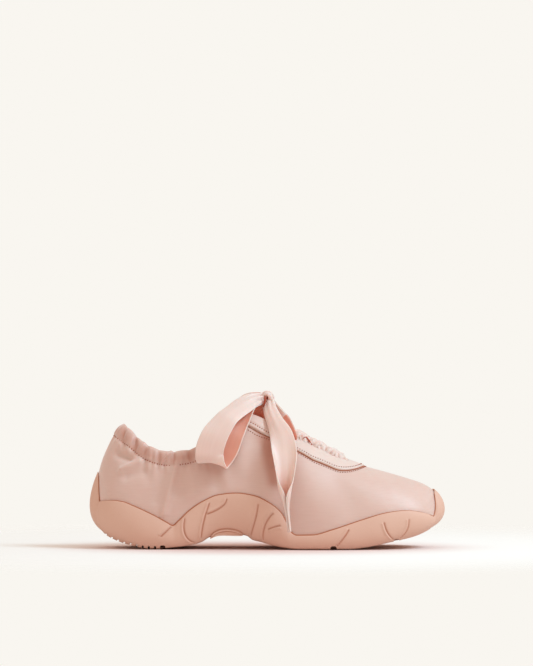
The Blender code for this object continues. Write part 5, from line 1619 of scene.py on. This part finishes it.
class SneakerColours(bpy.types.PropertyGroup):
    satin: colour_property("Satin", "Satin of the upper", (0.70, 0.482, 0.411))
    trim: colour_property("Lace stay", "Satin of the lace stay", (0.78, 0.60, 0.53))
    ribbon: colour_property("Ribbon", "Face of the ribbon", (0.845, 0.63, 0.57))
    ribbon_back: colour_property("Ribbon back", "Duller back of the ribbon", (0.68, 0.305, 0.22))
    # Back of the ribbon, duller than its face; the same colour also goes on faces in shade, as painted shade
    rubber: colour_property("Rubber", "Moulded sole", (0.72, 0.45, 0.345))
    lining: colour_property("Lining", "Textile inside the shoe", (0.62, 0.31, 0.23))
    footbed: colour_property("Footbed", "Cover of the footbed", (0.62, 0.42, 0.34))
    thread: colour_property("Thread", "Sewing thread", (0.40, 0.13, 0.08))
    # Painted shadow: colour of the dark bead in the gap between the sole and the satin
    rim_seam: colour_property("Sole seam", "Shadowed seam between the sole and the satin", (0.46, 0.165, 0.085))
    # Bead round the lace stay: partly the seam's own colour, partly painted shadow of the stay's edge
    seam: colour_property("Lace stay seam", "Shadowed seam round the lace stay", (0.42, 0.12, 0.045))
    # Painted shadow: colour of the dark bead in the crease between the lacing's puffs
    crease: colour_property("Lace crease", "Deep crease between the lacing's puffs", (0.50, 0.10, 0.05))
    # Painted shadow: deep colour of the core and the bead inside the knot, where the ribbon lies in shade
    knot_inside: colour_property("Knot inside", "Deep colour of the ribbon inside the knot", (0.33, 0.06, 0.03))


class SneakerSizes(bpy.types.PropertyGroup):
    crease_depth: FloatProperty(name="Crease depth", description="Depth of the creases moulded in the sole's sides",
                                default=0.0009, min=0.0, max=0.0015, precision=5, unit="LENGTH")
    ribbon_thickness: FloatProperty(name="Ribbon thickness", description="Thickness of the ribbon",
                                    default=0.00055, min=0.0003, max=0.0012, precision=5, unit="LENGTH")
    stitch_length: FloatProperty(name="Stitch length", description="Length of each stitch that shows",
                                 default=0.00098, min=0.0005, max=0.0017, precision=5, unit="LENGTH")
    satin_thread: FloatProperty(name="Satin thread", description="Pitch of the satin's threads",
                                default=0.00042, min=0.0001, max=0.002, precision=5, unit="LENGTH")
    knit: FloatProperty(name="Knit", description="Pitch of the lining's knit",
                        default=0.0011, min=0.0003, max=0.004, precision=5, unit="LENGTH")
    camera_distance: FloatProperty(name="Camera distance", description="Distance of the camera from the shoe",
                                   default=6.0, min=0.5, max=12.0, unit="LENGTH")


def size_of(name):
    """One of the user's sizes, in millimetres."""
    return getattr(bpy.context.scene.sneaker_sizes, name) / MM


# How each material is made: its shader, its colour and its further sizes or shares
FINISHES = {
    "satin": (satin_finish, "satin", "satin_thread"),
    "stay_satin": (satin_finish, "trim", "satin_thread"),
    "ribbon_face": (ribbon_finish, "ribbon", 0.45, 0.62, 0.015),
    "ribbon_back": (ribbon_finish, "ribbon_back", 0.6, 0.40, 0.05),
    "rubber": (rubber_finish, "rubber"),
    "lining_knit": (textile_finish, "lining", "knit"),
    "footbed_knit": (textile_finish, "footbed", "knit"),
    "knot_inside": (textile_finish, "knot_inside", "knit"),
    "rim_shadow": (rubber_finish, "rim_seam"),
    "seam": (rubber_finish, "seam"),
    "crease": (rubber_finish, "crease"),
    "thread": (thread_finish, "thread"),
}


def material(name):
    """Material of that name, built once with the user's colours and sizes."""
    build, colour, *settings = FINISHES[name]
    return bpy.data.materials.get(name) or build(name, tuple(getattr(bpy.context.scene.sneaker_colours, colour)), *(
        size_of(setting) if isinstance(setting, str) else setting for setting in settings))


# ---- Stage

# Where the camera looks, the height it takes in there, its sensor's height, and how many degrees it looks down
AIM, FRAME_HEIGHT, SENSOR, CAMERA_RISE = (0.0, 0.0, 0.1606), 0.4995, 36.0, 1.3
BACKDROP = (0.947, 0.921, 0.871)
# Light from all round: at the zenith, and from right below
AMBIENT_HIGH, AMBIENT_LOW = (0.90, 0.81, 0.745), (0.57, 0.43, 0.345)
# The floor's colour, the painted, pinkish shadow it blends to under the shoe, where it starts and stops fading out, and
# how low it lies
FLOOR_COLOUR, FLOOR_PAINTED_SHADOW = (0.89, 0.868, 0.838), (0.79, 0.62, 0.58)
FLOOR_CLEAR, FLOOR_DROP = (0.16, 0.42), 0.0004
# Radius of the floor, the point the lights aim at, and how far the camera sees
FLOOR_RADIUS, LIT_POINT, SEES_TO = 1.2, (0.0, 0.0, 0.04), 20.0
#                 place              size  power  colour
LIGHTS = {"key": ((1.40, -0.62, 1.60), 0.8, 31.0, (0.58, 0.84, 1.0))}


def aim(obj, target):
    """Turn an object so that its -Z looks at a point."""
    away = Vector(obj.location) - Vector(target)
    obj.rotation_euler = away.to_track_quat("Z", "Y").to_euler()


def build_stage():
    """Floor, backdrop, lights and the camera."""
    scene = bpy.context.scene
    bm = bmesh.new()
    bmesh.ops.create_circle(bm, cap_ends=True, radius=FLOOR_RADIUS, segments=64)
    mesh = mesh_from("floor", bm)
    mesh.materials.append(floor_finish("floor", FLOOR_COLOUR, *FLOOR_CLEAR))
    floor = add_to_scene("floor", mesh)
    floor.location.z = -FLOOR_DROP
    world = bpy.data.worlds.new("backdrop")
    world.use_nodes = True
    around = Nodes(world.node_tree)
    seen = around.tree.nodes["Background"]
    around.feed(seen.inputs["Color"], (*BACKDROP, 1.0))
    direction = around.node("ShaderNodeTexCoord", output="Generated")
    height = around.node("ShaderNodeSeparateXYZ", {"Vector": direction}, output="Z")
    share = around.node("ShaderNodeMapRange", {"Value": height, "From Min": -1.0})
    glow = around.node("ShaderNodeBackground", {"Color": around.blend(share, AMBIENT_LOW, AMBIENT_HIGH)})
    to_camera = around.node("ShaderNodeLightPath", output="Is Camera Ray")
    pick = around.node("ShaderNodeMixShader", {"Fac": to_camera, 1: glow, 2: Value(around, seen.outputs[0])})
    around.feed(around.tree.nodes["World Output"].inputs["Surface"], pick)
    scene.world = world
    for name, (place, size, power, colour) in LIGHTS.items():
        light = bpy.data.lights.new(name, "AREA")
        light.size, light.energy, light.color = size, power, colour
        lamp = add_to_scene(name, light)
        lamp.location = place
        aim(lamp, LIT_POINT)
    camera = add_to_scene("camera", bpy.data.cameras.new("camera"))
    distance, rise = scene.sneaker_sizes.camera_distance, math.radians(CAMERA_RISE)
    camera.location = Vector(AIM) + Vector((0, -math.cos(rise), math.sin(rise))) * distance
    aim(camera, AIM)
    camera.data.sensor_width = SENSOR
    camera.data.lens = SENSOR * distance / FRAME_HEIGHT
    camera.data.clip_end = SEES_TO
    scene.camera = camera
    scene.view_settings.view_transform = "Standard"


# ---- Operators

class Step:
    """What all steps of the sneaker share."""
    bl_options = {"REGISTER", "UNDO"}


class SNEAKER_OT_sole(Step, bpy.types.Operator):
    """Moulded rubber sole with its creases, ribs and grooves, and the bar under its arch"""
    bl_idname, bl_label = "sneaker.sole", "Sole"

    def execute(self, context):
        sole_body(size_of("crease_depth"))
        arch_bar()
        rim_seam()
        return {"FINISHED"}


class SNEAKER_OT_footbed(Step, bpy.types.Operator):
    """Dished footbed inside the shoe"""
    bl_idname, bl_label = "sneaker.footbed", "Footbed"

    def execute(self, context):
        footbed()
        return {"FINISHED"}


class SNEAKER_OT_upper(Step, bpy.types.Operator):
    """Satin upper with its gathered collar, soft folds and lining"""
    bl_idname, bl_label = "sneaker.upper", "Upper"

    def execute(self, context):
        upper_shell()
        return {"FINISHED"}


class SNEAKER_OT_tongue(Step, bpy.types.Operator):
    """Padded tongue under the lacing"""
    bl_idname, bl_label = "sneaker.tongue", "Tongue"

    def execute(self, context):
        tongue_piece(shoe_surface())
        return {"FINISHED"}


class SNEAKER_OT_lace_stay(Step, bpy.types.Operator):
    """Satin lace stay round the throat"""
    bl_idname, bl_label = "sneaker.lace_stay", "Lace stay"

    def execute(self, context):
        lace_stay(shoe_surface())
        return {"FINISHED"}


class SNEAKER_OT_stitching(Step, bpy.types.Operator):
    """Stitching of the collar's channel and of the lace stay"""
    bl_idname, bl_label = "sneaker.stitching", "Stitching"

    def execute(self, context):
        cuff_stitches(size_of("stitch_length"))
        stay_stitches(shoe_surface(), size_of("stitch_length"))
        return {"FINISHED"}


class SNEAKER_OT_lacing(Step, bpy.types.Operator):
    """Puffed ribbon crossings over the throat, and the straps up to the knot"""
    bl_idname, bl_label = "sneaker.lacing", "Lacing"

    def execute(self, context):
        lacing(shoe_surface(), size_of("ribbon_thickness"))
        return {"FINISHED"}


class SNEAKER_OT_bow(Step, bpy.types.Operator):
    """The bow: its knot, and two lengths of ribbon that each make a loop and a tail"""
    bl_idname, bl_label = "sneaker.bow", "Bow"

    def execute(self, context):
        thick = size_of("ribbon_thickness")
        knot = knot_wrap(thick)
        knot_core()
        for side, label in SIDES:
            obj, centre, length = bow_half(label, side, thick)
            path = world(centre)
            length * MM
        return {"FINISHED"}


class SNEAKER_OT_stage(Step, bpy.types.Operator):
    """Pale floor, soft lights and the camera"""
    bl_idname, bl_label = "sneaker.stage", "Stage"

    def execute(self, context):
        build_stage()
        return {"FINISHED"}


OPERATORS = (SNEAKER_OT_sole, SNEAKER_OT_footbed, SNEAKER_OT_upper, SNEAKER_OT_tongue, SNEAKER_OT_lace_stay,
             SNEAKER_OT_stitching, SNEAKER_OT_lacing, SNEAKER_OT_bow, SNEAKER_OT_stage)


class SNEAKER_PT_panel(bpy.types.Panel):
    """Steps and settings of the ballet sneaker"""
    bl_idname, bl_label = "SNEAKER_PT_panel", "Ballet sneaker"
    bl_space_type, bl_region_type, bl_category = "VIEW_3D", "UI", "Sneaker"

    def draw(self, context):
        for group in (context.scene.sneaker_colours, context.scene.sneaker_sizes):
            for name in group.__annotations__:
                self.layout.prop(group, name)
        for operator in OPERATORS:
            self.layout.operator(operator.bl_idname)


CLASSES = (SneakerColours, SneakerSizes, *OPERATORS, SNEAKER_PT_panel)


def register():
    for cls in CLASSES:
        bpy.utils.register_class(cls)
    bpy.types.Scene.sneaker_colours = PointerProperty(type=SneakerColours)
    bpy.types.Scene.sneaker_sizes = PointerProperty(type=SneakerSizes)


def unregister():
    del bpy.types.Scene.sneaker_colours, bpy.types.Scene.sneaker_sizes
    for cls in reversed(CLASSES):
        bpy.utils.unregister_class(cls)


def main():
    register()
    for operator in OPERATORS:
        group, name = operator.bl_idname.split(".")
        getattr(getattr(bpy.ops, group), name)()


if __name__ == "__main__":
    main()
